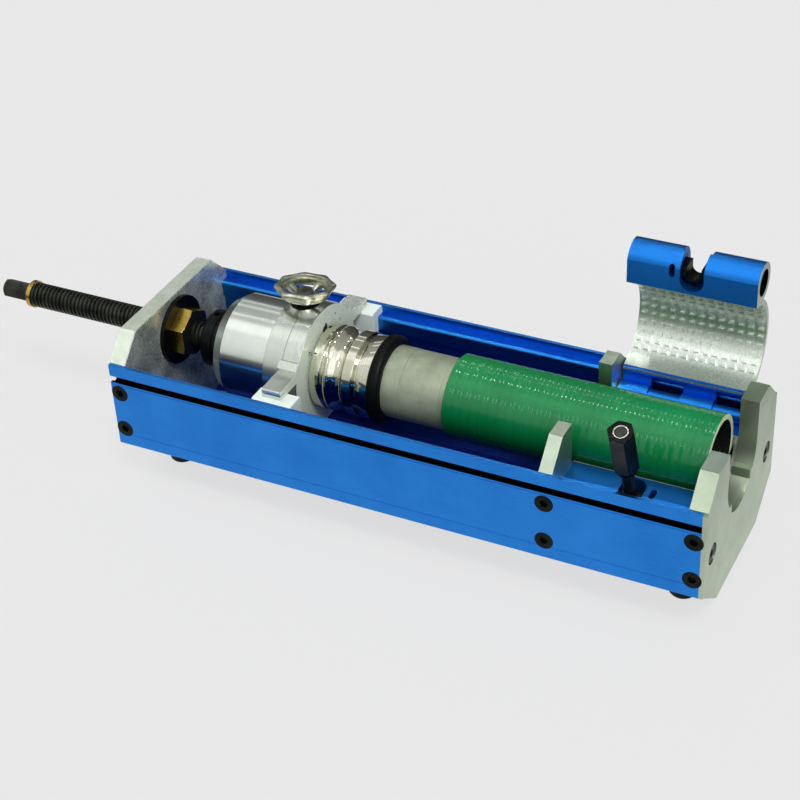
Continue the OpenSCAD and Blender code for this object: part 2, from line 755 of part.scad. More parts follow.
module lock_pad() {
  color([0.62, 0.55, 0.25]) placed() on_spindle(pad_reach) cylinder(h = 4, r = 6, $fn = 48);
}

module lock_spindle() {
  color([0.6, 0.62, 0.58]) placed() on_spindle(pad_reach + 4)
    cylinder(h = hub_low + hub_height - pad_reach, r = spindle_diameter / 2, $fn = 48);
}

module rim_outer() {
  r = wheel_diameter / 2;
  h = rim_height / 2;
  rotate_extrude($fn = 96) polygon([[0, -h], [r - 9, -h], [r - 5, -h * 0.9], [r - 1.8, -h * 0.55],
    [r, -h * 0.05], [r - 0.6, h * 0.42], [r - 2.6, h * 0.82], [r - 5, h], [0, h]]);
}

// Lobes around the rim and hollows between them
module rim_plan() {
  r = wheel_diameter / 2;
  step = 360 / lobes;
  difference() {
    circle(r = r, $fn = 96);
    for (i = [0 : lobes - 1]) rotate((i + 0.5) * step + lobe_turn)
      translate([r * 1.22, 0]) circle(r = r * 0.36, $fn = 48);
  }
}

module handwheel() {
  r = wheel_diameter / 2;
  h = rim_height / 2;
  color([0.6, 0.62, 0.55]) placed() on_spindle(rim_reach) difference() {
    union() {
      intersection() {
        rim_outer();
        difference() {
          translate([0, 0, -h]) linear_extrude(height = 2 * h) rim_plan();
          translate([0, 0, -h - 1]) cylinder(h = 2 * h + 2, r = r - 12, $fn = 96);
          translate([0, 0, h - 4]) cylinder(h = 4.1, r1 = r - 12, r2 = r - 8.4, $fn = 96);
          translate([0, 0, -h - 0.1]) cylinder(h = 4.1, r1 = r - 9, r2 = r - 12, $fn = 96);
        }
      }
      translate([0, 0, hub_low - rim_reach]) cylinder(h = hub_height, r1 = 9.4, r2 = 8.4, $fn = 48);
      for (i = [0 : spokes - 1]) rotate([0, 0, i * 360 / spokes + spoke_turn])
        rotate([90, 0, 0]) translate([0, 0, -4.5]) linear_extrude(height = 9)
          polygon([[6, hub_low - rim_reach + 2], [6, hub_low - rim_reach + hub_height - 1.5],
            [10, hub_low - rim_reach + hub_height - 1.5], [r - 10.5, h - 4.5], [r - 9.5, -h + 1.5]]);
    }
    translate([0, 0, -40]) cylinder(h = 80, r = spindle_diameter / 2 + screw_gap, $fn = 48);
  }
}

module wheel_nut() {
  color([0.2, 0.21, 0.19]) placed() on_spindle(hub_low + hub_height) difference() {
    rotate([0, 0, lobe_turn]) cylinder(h = 5.6, r = spindle_diameter, $fn = 6);
    translate([0, 0, -1]) cylinder(h = 5.4, r = spindle_diameter / 2 + screw_gap, $fn = 48);
  }
}

// Jaws, drawn closed about the hose axis; the upper one is then swung open
module shell_half(tip, up) {
  e = up ? jaw_edge : -jaw_edge;
  difference() {
    union() {
      difference() {
        circle(r = jaw_outer, $fn = 128);
        circle(r = jaw_inner, $fn = 128);
      }
      for (i = [0 : tooth_rows - 1]) rotate((up ? 1 : -1) * (first_row + i * row_angle))
        translate([tip - 1, -tooth_width / 2]) square([jaw_inner - tip + 2, tooth_width]);
    }
    circle(r = tip, $fn = 128);
    if (up) translate([-90, -90]) square([180, 90 + e]);
    else translate([-90, e]) square([180, 90]);
  }
}

module boss_half(up) {
  s = up ? 1 : -1;
  difference() {
    union() {
      translate([-boss_y, s * boss_z]) circle(r = boss_radius, $fn = 64);
      translate([-boss_y + 6, s * jaw_edge - (up ? 0 : 16)]) square([20, 16]);
    }
    circle(r = jaw_inner + 1, $fn = 128);
    translate([-boss_y, s * boss_z]) circle(r = boss_bore, $fn = 64);
    if (up) translate([-120, -90]) square([180, 90 + jaw_edge]);
    else translate([-120, -jaw_edge]) square([180, 90]);
  }
}

// Strip from the shell to the hinge
module hinge_web(up) {
  s = up ? 1 : -1;
  y1 = hinge_y - strip_reach;
  difference() {
    polygon([[jaw_inner, s * jaw_edge - (up ? 3.2 : 0)], [jaw_inner, s * (jaw_edge + (up ? 7.3 : 8))],
      [y1, s * (jaw_edge + (up ? 7.3 : 8))], [y1, s * (jaw_edge + (up ? 1 : 0)) - (up ? 3.2 : 0)],
      [y1 - 3, s * jaw_edge - (up ? 3.2 : 0)]]);
    circle(r = jaw_inner + 1, $fn = 128);
  }
}

module knuckle_2d(up) {
  r = up ? knuckle_diameter / 2 : low_knuckle_diameter / 2;
  difference() {
    union() {
      translate([hinge_y, -hinge_drop]) circle(r = r, $fn = 48);
      if (up) translate([jaw_inner + 2, jaw_edge - 1.8]) square([hinge_y - jaw_inner - 2, 4.6]);
      else translate([jaw_inner + 2, -jaw_edge - 4.6]) square([hinge_y - jaw_inner - 2, 4.6]);
    }
    circle(r = jaw_inner + 1, $fn = 128);
    translate([hinge_y, -hinge_drop])
      circle(r = hinge_pin_diameter / 2 + (up ? running_gap : screw_gap), $fn = 48);
  }
}

module jaw_at(x0, len) {
  translate([x0, mid_y, axis_z]) rotate([90, 0, 90]) linear_extrude(height = len) children();
}

// Comb of ring grooves between the teeth
module ring_grooves(tip) {
  pts = [for (i = [0 : tooth_cols - 2]) let (x = tooth_start_x + (i + 1) * tooth_pitch - tooth_gap)
    each [[x, tip - 2], [x, jaw_inner + 0.01], [x + tooth_gap, jaw_inner + 0.01],
      [x + tooth_gap, tip - 2]]];
  turned(concat([[jaw_start_x - 5, 20], [jaw_start_x - 5, jaw_inner + 0.01],
    [tooth_start_x, jaw_inner + 0.01], [tooth_start_x, tip - 2]], pts,
    [[tooth_start_x + tooth_span, tip - 2], [tooth_start_x + tooth_span, jaw_inner + 0.01],
    [end_yoke_x + 5, jaw_inner + 0.01], [end_yoke_x + 5, 20]]));
}

module notch_cut(y_front, y_deep, w, z0, z1) {
  translate([bolt_x - w / 2, y_front, z0]) cube([w, y_deep - y_front, z1 - z0]);
}

module lower_jaw() {
  k = knuckle_length;
  color([0.02, 0.27, 0.5]) placed() difference() {
    union() {
      difference() {
        jaw_at(jaw_start_x, jaw_length) shell_half(lower_tip, false);
        ring_grooves(lower_tip);
      }
      jaw_at(jaw_start_x, jaw_length) boss_half(false);
      jaw_at(jaw_start_x, jaw_length) hinge_web(false);
      for (i = [1, 3]) jaw_at(jaw_start_x + i * k - knuckle_back + end_gap, k - 2 * end_gap)
        knuckle_2d(false);
    }
    notch_cut(0, boss_at_y + 3, notch_width, low_boss_z - 8, axis_z);
    translate([bolt_x, boss_at_y + 3, low_boss_z - 8]) cylinder(h = 60, r = notch_width / 2, $fn = 48);
    translate([bolt_x + 21, boss_at_y - 6, low_boss_z + 8]) cylinder(h = 30, r = 3, $fn = 24);
    translate([bolt_x + 18, boss_at_y - 6, low_boss_z + 8]) cube([6, 8, 30]);
    translate([bolt_x + 21, boss_at_y + 2, low_boss_z + 8]) cylinder(h = 30, r = 3, $fn = 24);
  }
}

module upper_closed() {
  k = knuckle_length;
  difference() {
    union() {
      difference() {
        jaw_at(upper_start_x, upper_length) shell_half(upper_tip, true);
        ring_grooves(upper_tip);
      }
      jaw_at(upper_start_x, upper_length) boss_half(true);
      jaw_at(upper_start_x, upper_length) hinge_web(true);
      jaw_at(upper_start_x, jaw_start_x + k - knuckle_back - upper_start_x) knuckle_2d(true);
      jaw_at(jaw_start_x + 2 * k - knuckle_back, k) knuckle_2d(true);
    }
    notch_cut(0, boss_at_y + 3, notch_width, axis_z, top_boss_z + 30);
    translate([bolt_x, boss_at_y + 3, axis_z]) cylinder(h = 80, r = notch_width / 2, $fn = 48);
    notch_cut(0, boss_at_y + 15, 29.4, top_boss_z - 1, top_boss_z + 30);
    bar_screw_place() {
      for (y = [-4, 4]) translate([0, y, -30]) cylinder(h = 25, r = 3, $fn = 32);
      translate([-3, -4, -30]) cube([6, 8, 25]);
    }
  }
}

module swung(a) {
  translate([0, hinge_at_y, hinge_at_z]) rotate([-a, 0, 0]) translate([0, -hinge_at_y, -hinge_at_z])
    children();
}

module upper_jaw() { color([0.04, 0.3, 0.56]) placed() swung(open_angle) upper_closed(); }

module bar_screw_place() { translate([bolt_x - 20.5, boss_at_y - 4.5, top_boss_z]) children(); }

module clamp_bar() {
  w = bolt_diameter + 2.4;
  color([0.05, 0.05, 0.06]) placed() swung(open_angle) difference() {
    rod_x(upper_start_x + bar_inset, upper_length - 2 * bar_inset, boss_at_y, top_boss_z,
      boss_bore - screw_gap);
    notch_cut(0, boss_at_y, w, axis_z, top_boss_z + 30);
    translate([bolt_x, boss_at_y, axis_z]) cylinder(h = 80, r = w / 2, $fn = 48);
    notch_cut(0, boss_at_y - 7.5, 29.4, axis_z, top_boss_z + 30);
    notch_cut(0, boss_at_y + 30, 29.4, top_boss_z + 7.3, top_boss_z + 30);
    bar_screw_place() translate([0, 0, -30]) cylinder(h = 27, r = 2.5 + screw_gap, $fn = 32);
  }
}

module bar_setscrew() {
  color([0.3, 0.3, 0.3]) placed() swung(open_angle) bar_screw_place() translate([0, 0, -12.6])
    difference() {
      cylinder(h = 9, r = 2.5, $fn = 32);
      translate([0, 0, -1]) cylinder(h = 4, r = 1.5, $fn = 6);
    }
}

module hinge_pin() {
  color([0.45, 0.47, 0.46]) placed()
    rod_x(middle_yoke_x, end_yoke_x + 6 - middle_yoke_x, hinge_at_y, hinge_at_z,
      hinge_pin_diameter / 2, 48);
}

// Swing bolt, leaning to the front
module leaning() {
  translate([bolt_x, boss_at_y, low_boss_z]) rotate([bolt_lean, 0, 0]) children();
}

module pivot_bar() {
  color([0.05, 0.05, 0.06]) placed() leaning() difference() {
    rotate([0, 90, 0]) translate([0, 0, -30]) cylinder(h = 60, r = boss_bore - running_gap, $fn = 64);
    translate([0, 0, -4]) cylinder(h = 30, r = bolt_diameter / 2 + screw_gap, $fn = 48);
  }
}

module swing_stud() {
  color([0.12, 0.12, 0.12]) placed() leaning() translate([0, 0, -4])
    cylinder(h = nut_top + 4 - 0.6, r = bolt_diameter / 2, $fn = 48);
}

module clamp_washer() {
  color([0.1, 0.1, 0.1]) placed() leaning() translate([0, 0, clamp_nut_start - 2.5]) difference() {
    cylinder(h = 2.5 - running_gap, r1 = 9, r2 = 10.6, $fn = 48);
    translate([0, 0, -1]) cylinder(h = 5, r = bolt_diameter / 2 + running_gap, $fn = 48);
  }
}

module clamp_nut() {
  c = clamp_nut_flats / sqrt(3);
  l = clamp_nut_length;
  color([0.06, 0.07, 0.07]) placed() leaning() translate([0, 0, clamp_nut_start]) difference() {
    intersection() {
      cylinder(h = l, r = c, $fn = 6);
      union() {
        cylinder(h = 7, r1 = 8, r2 = c + 0.3, $fn = 48);
        translate([0, 0, 7]) cylinder(h = l - 8.2, r = c + 0.3, $fn = 48);
        translate([0, 0, l - 1.2]) cylinder(h = 1.2, r1 = c + 0.3, r2 = clamp_nut_flats / 2 + 0.2, $fn = 48);
      }
    }
    translate([0, 0, -1]) cylinder(h = l + 2, r = bolt_diameter / 2 + running_gap, $fn = 48);
  }
}

front_rail();
rear_rail();
floor_pan();
screw_end_plate();
middle_yoke();
clamp_end_yoke();
side_screws();
yoke_cap_screws();
rubber_feet();
foot_screws();
nut_flange();
drive_nut();
lower_jaw();
hinge_pin();
hose();
ram_body();
chuck_ring();
front_slider();
rear_slider();
slider_screws();
thrust_bearing();
spindle_bushing();
hose_fitting();
fitting_seal();
drive_screw();
drive_hex();
screw_ring();
thrust_collar();
lock_pad();
lock_spindle();
handwheel();
wheel_nut();
upper_jaw();
clamp_bar();
bar_setscrew();
pivot_bar();
swing_stud();
clamp_washer();
clamp_nut();
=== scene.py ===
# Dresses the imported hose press: a finish for every part, eased edges, a ribbed hose,
# the fitting and its seal, the handwheel, the drive screw's thread, a pale studio
# and the photograph's camera.
import bpy
import json
import math
from mathutils import Matrix, Vector


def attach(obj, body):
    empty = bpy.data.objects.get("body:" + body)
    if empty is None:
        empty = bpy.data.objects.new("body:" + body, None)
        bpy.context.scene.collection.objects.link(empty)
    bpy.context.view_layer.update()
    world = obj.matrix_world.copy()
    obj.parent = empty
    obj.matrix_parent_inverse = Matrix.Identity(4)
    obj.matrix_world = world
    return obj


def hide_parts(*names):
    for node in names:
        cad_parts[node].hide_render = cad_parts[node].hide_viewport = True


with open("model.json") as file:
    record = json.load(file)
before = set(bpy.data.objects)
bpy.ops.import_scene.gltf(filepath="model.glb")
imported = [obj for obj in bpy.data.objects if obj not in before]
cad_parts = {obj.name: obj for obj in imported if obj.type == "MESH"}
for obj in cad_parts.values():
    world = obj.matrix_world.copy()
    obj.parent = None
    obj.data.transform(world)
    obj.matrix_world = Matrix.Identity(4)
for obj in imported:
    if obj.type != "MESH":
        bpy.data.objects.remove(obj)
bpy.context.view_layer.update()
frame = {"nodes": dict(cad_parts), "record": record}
nodes = frame["nodes"]
print("frame loaded:", len(nodes), "nodes")

# Rail coordinates in mm become frame metres: x from the rails' left end, y from the front face
railShift = (0.22555, 0.117222, -0.053)


def place(x, y, z):
    return Vector((x / 1000 - railShift[0], y / 1000 - railShift[1], z / 1000 - railShift[2]))


hoseAxis = {"y": 109.5, "z": 86.1}


def linear(r, g, b):
    return tuple((c / 255 / 12.92) if c / 255 <= 0.04045 else ((c / 255 + 0.055) / 1.055) ** 2.4
                 for c in (r, g, b)) + (1.0,)


# The photograph's camera, placed in rail coordinates
cameraPose = {
    "at": place(1054.27, -1332.07, 1216.36),
    "forward": Vector((-0.38265, 0.72121, -0.57744)),
    "up": Vector((-0.21999, 0.53590, 0.81511)),
    "lens": 85.23, "sensor": 36, "clipEnd": 50,
}


def setCamera(pose):
    forward = pose["forward"].normalized()
    right = forward.cross(pose["up"]).normalized()
    up = right.cross(forward)
    data = bpy.data.cameras.new("photoCamera")
    data.lens = pose["lens"]
    data.sensor_width = pose["sensor"]
    data.clip_end = pose["clipEnd"]
    camera = bpy.data.objects.new("photoCamera", data)
    bpy.context.scene.collection.objects.link(camera)
    turn = Matrix((right, up, -forward)).transposed().to_4x4()
    camera.matrix_world = Matrix.Translation(pose["at"]) @ turn
    bpy.context.scene.camera = camera


setCamera(cameraPose)
print("camera set")


# Wraps a shader socket, so that sums and comparisons become Math nodes
class Wire:

    def __init__(self, tree, socket):
        self.tree = tree
        self.socket = socket

    def maths(self, operation, first, second):
        return addNode(self.tree, "ShaderNodeMath", {"operation": operation},
                       {0: first, 1: second})

    def __add__(self, other):
        return self.maths("ADD", self, other)

    def __sub__(self, other):
        return self.maths("SUBTRACT", self, other)

    def __mul__(self, other):
        return self.maths("MULTIPLY", self, other)

    def __truediv__(self, other):
        return self.maths("DIVIDE", self, other)

    def __gt__(self, other):
        return self.maths("GREATER_THAN", self, other)

    def __lt__(self, other):
        return self.maths("LESS_THAN", self, other)

    def __pow__(self, other):
        return self.maths("POWER", self, other)

    def __radd__(self, other):
        return self.maths("ADD", other, self)

    def __rsub__(self, other):
        return self.maths("SUBTRACT", other, self)

    def __rmul__(self, other):
        return self.maths("MULTIPLY", other, self)


def addNode(tree, kind, settings=None, links=None, out=0):
    node = tree.nodes.new(kind)
    for key, value in (settings or {}).items():
        if key == "stops":
            ramp = node.color_ramp
            while len(ramp.elements) < len(value):
                ramp.elements.new(0.5)
            for element, (position, colour) in zip(ramp.elements, value):
                element.position = position
                element.color = colour
        else:
            setattr(node, key, value)
    for key, value in (links or {}).items():
        if isinstance(value, Wire):
            tree.links.new(value.socket, node.inputs[key])
        else:
            node.inputs[key].default_value = value
    return Wire(tree, node.outputs[out])


def mixColour(tree, amount, first, second):
    return addNode(tree, "ShaderNodeMix", {"data_type": "RGBA"},
                   {0: amount, 6: first, 7: second}, out=2)


def objectPoint(tree):
    return addNode(tree, "ShaderNodeTexCoord", out="Object")


def axisParts(tree, vector):
    split = addNode(tree, "ShaderNodeSeparateXYZ", None, {0: vector})
    node = split.socket.node
    return [Wire(tree, node.outputs[i]) for i in range(3)]


def stretched(tree, scale):
    return addNode(tree, "ShaderNodeMapping", None,
                   {"Vector": objectPoint(tree), "Scale": scale})


def noise(tree, size, detail=2.0, roughness=0.5, scale=(1, 1, 1)):
    return addNode(tree, "ShaderNodeTexNoise", None,
                   {"Vector": stretched(tree, scale), "Scale": 1 / size, "Detail": detail,
                    "Roughness": roughness})


def ramp(tree, value, low, high):
    return addNode(tree, "ShaderNodeMapRange", {"clamp": True},
                   {"Value": value, "From Min": low, "From Max": high})


def bumpFrom(tree, height, distance, strength):
    return addNode(tree, "ShaderNodeBump", None,
                   {"Height": height, "Distance": distance, "Strength": strength})


# Distance from a line along x through the rail coordinates y and z
def axisRadius(tree, y, z):
    centre = place(0, y, z)
    parts = axisParts(tree, objectPoint(tree))
    dy = parts[1] - centre.y
    dz = parts[2] - centre.z
    return (dy * dy + dz * dz) ** 0.5


finishes = {}


# build gives what changes over the surface, fixed the sockets that are the same all over
def finish(name, build, metallic=0.0, **fixed):
    material = bpy.data.materials.new(name)
    material.use_nodes = True
    tree = material.node_tree
    shader = tree.nodes["Principled BSDF"]
    shader.inputs["Metallic"].default_value = metallic
    for key, value in fixed.items():
        shader.inputs[key.replace("_", " ")].default_value = value
    for key, value in build(tree).items():
        socket = shader.inputs[key]
        if isinstance(value, Wire):
            tree.links.new(value.socket, socket)
        else:
            socket.default_value = value
    finishes[name] = material


# Colours from 0 to 255; one named Deep is the darker part of its finish's grain
tones = {
    "railBlue": linear(46, 134, 222), "railBlueDeep": linear(36, 118, 206),
    # slotShadeBlack is painted shade for the inside of the rails' slot
    "slotShadeBlack": linear(6, 8, 14),
    "panBlue": linear(12, 52, 150), "panBlueDeep": linear(6, 34, 112),
    "plate": linear(188, 202, 180), "plateDeep": linear(160, 174, 152),
    "plateBright": linear(214, 226, 206),
    "endPlate": linear(232, 242, 228), "endPlateDeep": linear(118, 130, 124),
    "yoke": linear(198, 212, 192), "yokeDeep": linear(168, 182, 162),
    "jawBlue": linear(40, 132, 224), "jawBlueDeep": linear(30, 116, 206),
    "machined": linear(226, 234, 224), "machinedDeep": linear(200, 210, 198),
    "hose": linear(14, 134, 72), "hoseDeep": linear(5, 112, 58), "hosePaintedShade": linear(1, 48, 26),
    "hoseCut": linear(196, 206, 170),
    "ram": linear(238, 243, 238), "ramDeep": linear(214, 222, 214),
    "chuck": linear(222, 228, 220), "chuckDeep": linear(194, 202, 192),
    "steel": linear(226, 226, 208), "steelDeep": linear(196, 196, 176),
    "shank": linear(162, 172, 150), "shankDeep": linear(136, 144, 124),
    "faceMatte": linear(212, 222, 206), "faceSpeck": linear(92, 100, 94),
    "slider": linear(222, 232, 228), "sliderDeep": linear(206, 218, 212),
    "wheel": linear(206, 208, 188), "wheelDeep": linear(164, 166, 144),
    "wheelNut": linear(120, 124, 110), "wheelNutDeep": linear(82, 86, 76),
    "brass": linear(196, 168, 84), "brassDeep": linear(160, 134, 58),
    "black": linear(22, 28, 27), "blackDeep": linear(9, 12, 12), "wear": linear(96, 98, 92),
    "screwBlack": linear(52, 55, 48), "screwBlackDeep": linear(24, 27, 22),
    "rubber": linear(8, 10, 10), "rubberDeep": linear(3, 5, 5),
    "bright": linear(206, 210, 200), "brightDeep": linear(160, 166, 156),
}


def anodised(first, second, grain, rough=0.26):
    def build(tree):
        fine = noise(tree, grain, 3, 0.6, (0.12, 1, 1))
        cloud = noise(tree, 0.06, 2)
        colour = mixColour(tree, ramp(tree, fine * 0.4 + cloud * 0.6, 0.3, 0.7), tones[first],
                           tones[second])
        return {"Base Color": colour, "Roughness": rough + cloud * 0.08 + fine * 0.06,
                "Normal": bumpFrom(tree, fine, 0.00002, 0.35)}
    return build


# Painted shade, black, inside the rails' slot, in mm: its middle's height, half its height, and
# # the depths from the rail's outer face between which it lies
railSlotShade = {"level": 84, "half": 7.1, "mouth": 0.9, "back": 11}


# Blue rail with painted shade, black, inside its slot; side is 1 on the front rail and -1 on the
# rear one
def railFinish(outerY, side):
    def build(tree):
        base = anodised("railBlue", "railBlueDeep", 0.0012)(tree)
        parts = axisParts(tree, objectPoint(tree))
        depth = (parts[1] - place(0, outerY, 0).y) * side
        level = place(0, 0, railSlotShade["level"]).z
        half = railSlotShade["half"] / 1000
        # Painted shade: the slot's inside is coloured black
        paintedSlotShade = (depth > railSlotShade["mouth"] / 1000) * (depth < railSlotShade["back"] / 1000) \
            * (parts[2] > level - half) * (parts[2] < level + half)
        return {"Base Color": mixColour(tree, paintedSlotShade, base["Base Color"], tones["slotShadeBlack"]),
                "Roughness": base["Roughness"] + paintedSlotShade * 0.4, "Normal": base["Normal"]}
    return build


def blasted(first, second, speck, contrast=0.64):
    def build(tree):
        fine = noise(tree, speck, 4, 0.7)
        cloud = noise(tree, 0.03, 3)
        colour = mixColour(tree, ramp(tree, fine * 0.6 + cloud * 0.4, 1 - contrast, contrast),
                           tones[first], tones[second])
        return {"Base Color": colour, "Roughness": 0.3 + fine * 0.2,
                "Normal": bumpFrom(tree, fine, 0.00008, 0.35)}
    return build


# Fine lines round the x axis, about pitch apart; lines gives their roughness and depth
def turnedMetal(first, second, pitch, lines):
    def build(tree):
        parts = axisParts(tree, objectPoint(tree))
        rings = addNode(tree, "ShaderNodeTexNoise", {"noise_dimensions": "1D"},
                        {"W": parts[0], "Scale": 1 / pitch, "Detail": 3.0})
        cloud = noise(tree, 0.03, 3)
        colour = mixColour(tree, ramp(tree, rings * 0.6 + cloud * 0.4, 0.3, 0.7), tones[first],
                           tones[second])
        return {"Base Color": colour, "Roughness": lines["rough"] + rings * lines["spread"],
                "Normal": bumpFrom(tree, rings, lines["depth"], 0.6)}
    return build


# Where finishes change along x, in rail mm
changeAt = {"plateInner": 17.6, "nutPaint": 40.45, "holeShadeFrom": 203.2, "holeShadeTo": 210.5,
            "chuckFace": 203.25, "shank": 286.3, "hoseCut": (637.75, 637.85)}

# Painted shade of holes near the chuck's face: black spots, as (offset along y, offset along z,
# half width, half height)
holeShadeSpots = [(5.2, 42.9, 2.7, 6.3), (-32.2, 34.8, 0.9, 0.9), (-33.9, 32.4, 0.8, 1.2),
              (-30.2, 33.6, 0.8, 1.0), (27, 48, 1.1, 1.0)]


# Mask of the painted hole shade: black spots standing in for the shade inside holes
def holeShadeMask(tree):
    parts = axisParts(tree, objectPoint(tree))
    middle = place(0, hoseAxis["y"], hoseAxis["z"])
    mask = 0
    for y, z, wide, high in holeShadeSpots:
        across = (parts[1] - (middle.y + y / 1000)) / (wide / 1000)
        upward = (parts[2] - (middle.z + z / 1000)) / (high / 1000)
        mask = (across * across + upward * upward < 1) + mask
    return mask * (parts[0] > place(changeAt["holeShadeFrom"], 0, 0).x) \
        * (parts[0] < place(changeAt["holeShadeTo"], 0, 0).x)


# Polished collars, then a satin shank, with painted hole shade in black spots near the chuck
def fittingFinish(tree):
    polished = turnedMetal("steel", "steelDeep", 0.0012,
                           {"rough": 0.05, "spread": 0.06, "depth": 0.000006})(tree)
    parts = axisParts(tree, objectPoint(tree))
    shank = parts[0] > place(changeAt["shank"], 0, 0).x
    grit = noise(tree, 0.0012, 3, 0.6)
    cloud = noise(tree, 0.02, 3)
    satin = mixColour(tree, ramp(tree, cloud * 0.7 + grit * 0.3, 0.35, 0.65), tones["shank"],
                      tones["shankDeep"])
    # Painted hole shade: black spots on the fitting near the chuck
    shadedHoles = holeShadeMask(tree)
    colour = mixColour(tree, shank, polished["Base Color"], satin)
    return {"Base Color": mixColour(tree, shadedHoles, colour, tones["blackDeep"]),
            "Roughness": polished["Roughness"] + shank * 0.46,
            "Metallic": 1 - shank * 0.5, "Normal": polished["Normal"]}


# Turned round the outside, matte and speckled on the flat face towards the hose, with painted hole
# shade in black spots
def chuckFinish(tree):
    turned = turnedMetal("chuck", "chuckDeep", 0.0008,
                         {"rough": 0.16, "spread": 0.14, "depth": 0.00003})(tree)
    parts = axisParts(tree, objectPoint(tree))
    face = parts[0] > place(changeAt["chuckFace"], 0, 0).x
    speck = noise(tree, 0.0024, 4, 0.75)
    spots = ramp(tree, speck, 0.58, 0.7)
    matte = mixColour(tree, spots, tones["faceMatte"], tones["faceSpeck"])
    colour = mixColour(tree, face, turned["Base Color"], matte)
    # Painted hole shade: black spots on the chuck's face
    return {"Base Color": mixColour(tree, holeShadeMask(tree), colour, tones["blackDeep"]),
            "Roughness": turned["Roughness"] + face * 0.25, "Metallic": 1 - face * 0.85,
            "Normal": turned["Normal"]}


# Speckled inside, smoother and brighter on the chamfers and the outside
def endPlateFinish(tree):
    blast = blasted("endPlate", "endPlateDeep", 0.0014, 0.6)(tree)
    parts = axisParts(tree, objectPoint(tree))
    inner = parts[0] > place(changeAt["plateInner"], 0, 0).x
    cloud = noise(tree, 0.012, 3)
    smooth = mixColour(tree, ramp(tree, cloud, 0.3, 0.7), tones["plateBright"], tones["endPlate"])
    return {"Base Color": mixColour(tree, inner, smooth, blast["Base Color"]),
            "Roughness": blast["Roughness"], "Metallic": 0.9 - inner * 0.28,
            "Normal": blast["Normal"]}


def castMetal(first, second):
    def build(tree):
        grit = noise(tree, 0.0012, 3, 0.6)
        cloud = noise(tree, 0.008, 3)
        colour = mixColour(tree, ramp(tree, cloud, 0.35, 0.7), tones[first], tones[second])
        return {"Base Color": colour, "Roughness": 0.26 + grit * 0.18,
                "Normal": bumpFrom(tree, grit, 0.00012, 0.4)}
    return build


# Black oxide, scratched through to paler metal in places
def oxide(first, second):
    def build(tree):
        cloud = noise(tree, 0.012, 3)
        scratch = noise(tree, 0.0016, 4, 0.75)
        worn = ramp(tree, scratch, 0.68, 0.76)
        colour = mixColour(tree, ramp(tree, cloud, 0.35, 0.65), tones[first], tones[second])
        colour = mixColour(tree, worn * 0.4, colour, tones["wear"])
        return {"Base Color": colour, "Roughness": 0.32 + cloud * 0.12 - worn * 0.08,
                "Normal": bumpFrom(tree, scratch, 0.00006, 0.3)}
    return build


def plain(first, second, rough, grain=0.0015, depth=0.00006):
    def build(tree):
        grit = noise(tree, grain, 3, 0.6)
        cloud = noise(tree, 0.03, 2)
        colour = mixColour(tree, ramp(tree, cloud * 0.7 + grit * 0.3, 0.35, 0.65), tones[first],
                           tones[second])
        return {"Base Color": colour, "Roughness": rough + grit * 0.12,
                "Normal": bumpFrom(tree, grit, depth, 0.5)}
    return build


# The jaws in rail mm: axis and radius of the machined inside, cut ends, axis of the boss,
# and a bare strip on the open upper jaw as (y that it lies in front of, low z, high z)
upperJaw = {"axis": (187.76, 160.51), "inside": 49.9, "ends": (507.4, 641.6),
            "boss": (214.35, 228.28), "strip": (190.9, 107.6, 113)}
lowerJaw = {"axis": (hoseAxis["y"], hoseAxis["z"]), "inside": 50.6, "ends": (505.6, 643.4),
            "boss": (41.5, 60.1)}
bossBore = 14.1


# Blue outside, bare metal inside the shell and on the cut ends, and painted shade, black, inside
# the boss's bore
def jawFinish(jaw):
    def build(tree):
        base = anodised("jawBlue", "jawBlueDeep", 0.0012, 0.34)(tree)
        parts = axisParts(tree, objectPoint(tree))
        inside = axisRadius(tree, *jaw["axis"]) < jaw["inside"] / 1000
        cutEnds = (parts[0] < place(jaw["ends"][0], 0, 0).x) \
            + (parts[0] > place(jaw["ends"][1], 0, 0).x)
        machined = addNode(tree, "ShaderNodeMath", {"operation": "MAXIMUM"},
                           {0: inside, 1: cutEnds})
        if "strip" in jaw:
            face, low, high = jaw["strip"]
            strip = (parts[1] < place(0, face, 0).y) * (parts[2] > place(0, 0, low).z) \
                * (parts[2] < place(0, 0, high).z)
            machined = addNode(tree, "ShaderNodeMath", {"operation": "MAXIMUM"},
                               {0: machined, 1: strip})
        grit = noise(tree, 0.002, 3)
        bare = mixColour(tree, ramp(tree, grit, 0.35, 0.65), tones["machined"],
                         tones["machinedDeep"])
        # Painted shade: the boss's bore is coloured black
        boreShade = axisRadius(tree, *jaw["boss"]) < bossBore / 1000
        colour = mixColour(tree, machined, base["Base Color"], bare)
        return {"Base Color": mixColour(tree, boreShade, colour, tones["blackDeep"]),
                "Roughness": base["Roughness"] - machined * 0.04, "Metallic": 1 - machined * 0.08,
                "Normal": base["Normal"]}
    return build


# Heights between which the hose grows lighter, a painted shade on its lower side fading out, and
# the radius within which its inside is painted dark as shade, in mm
hoseLook = {"shade": (62, 124), "inside": 39.5}


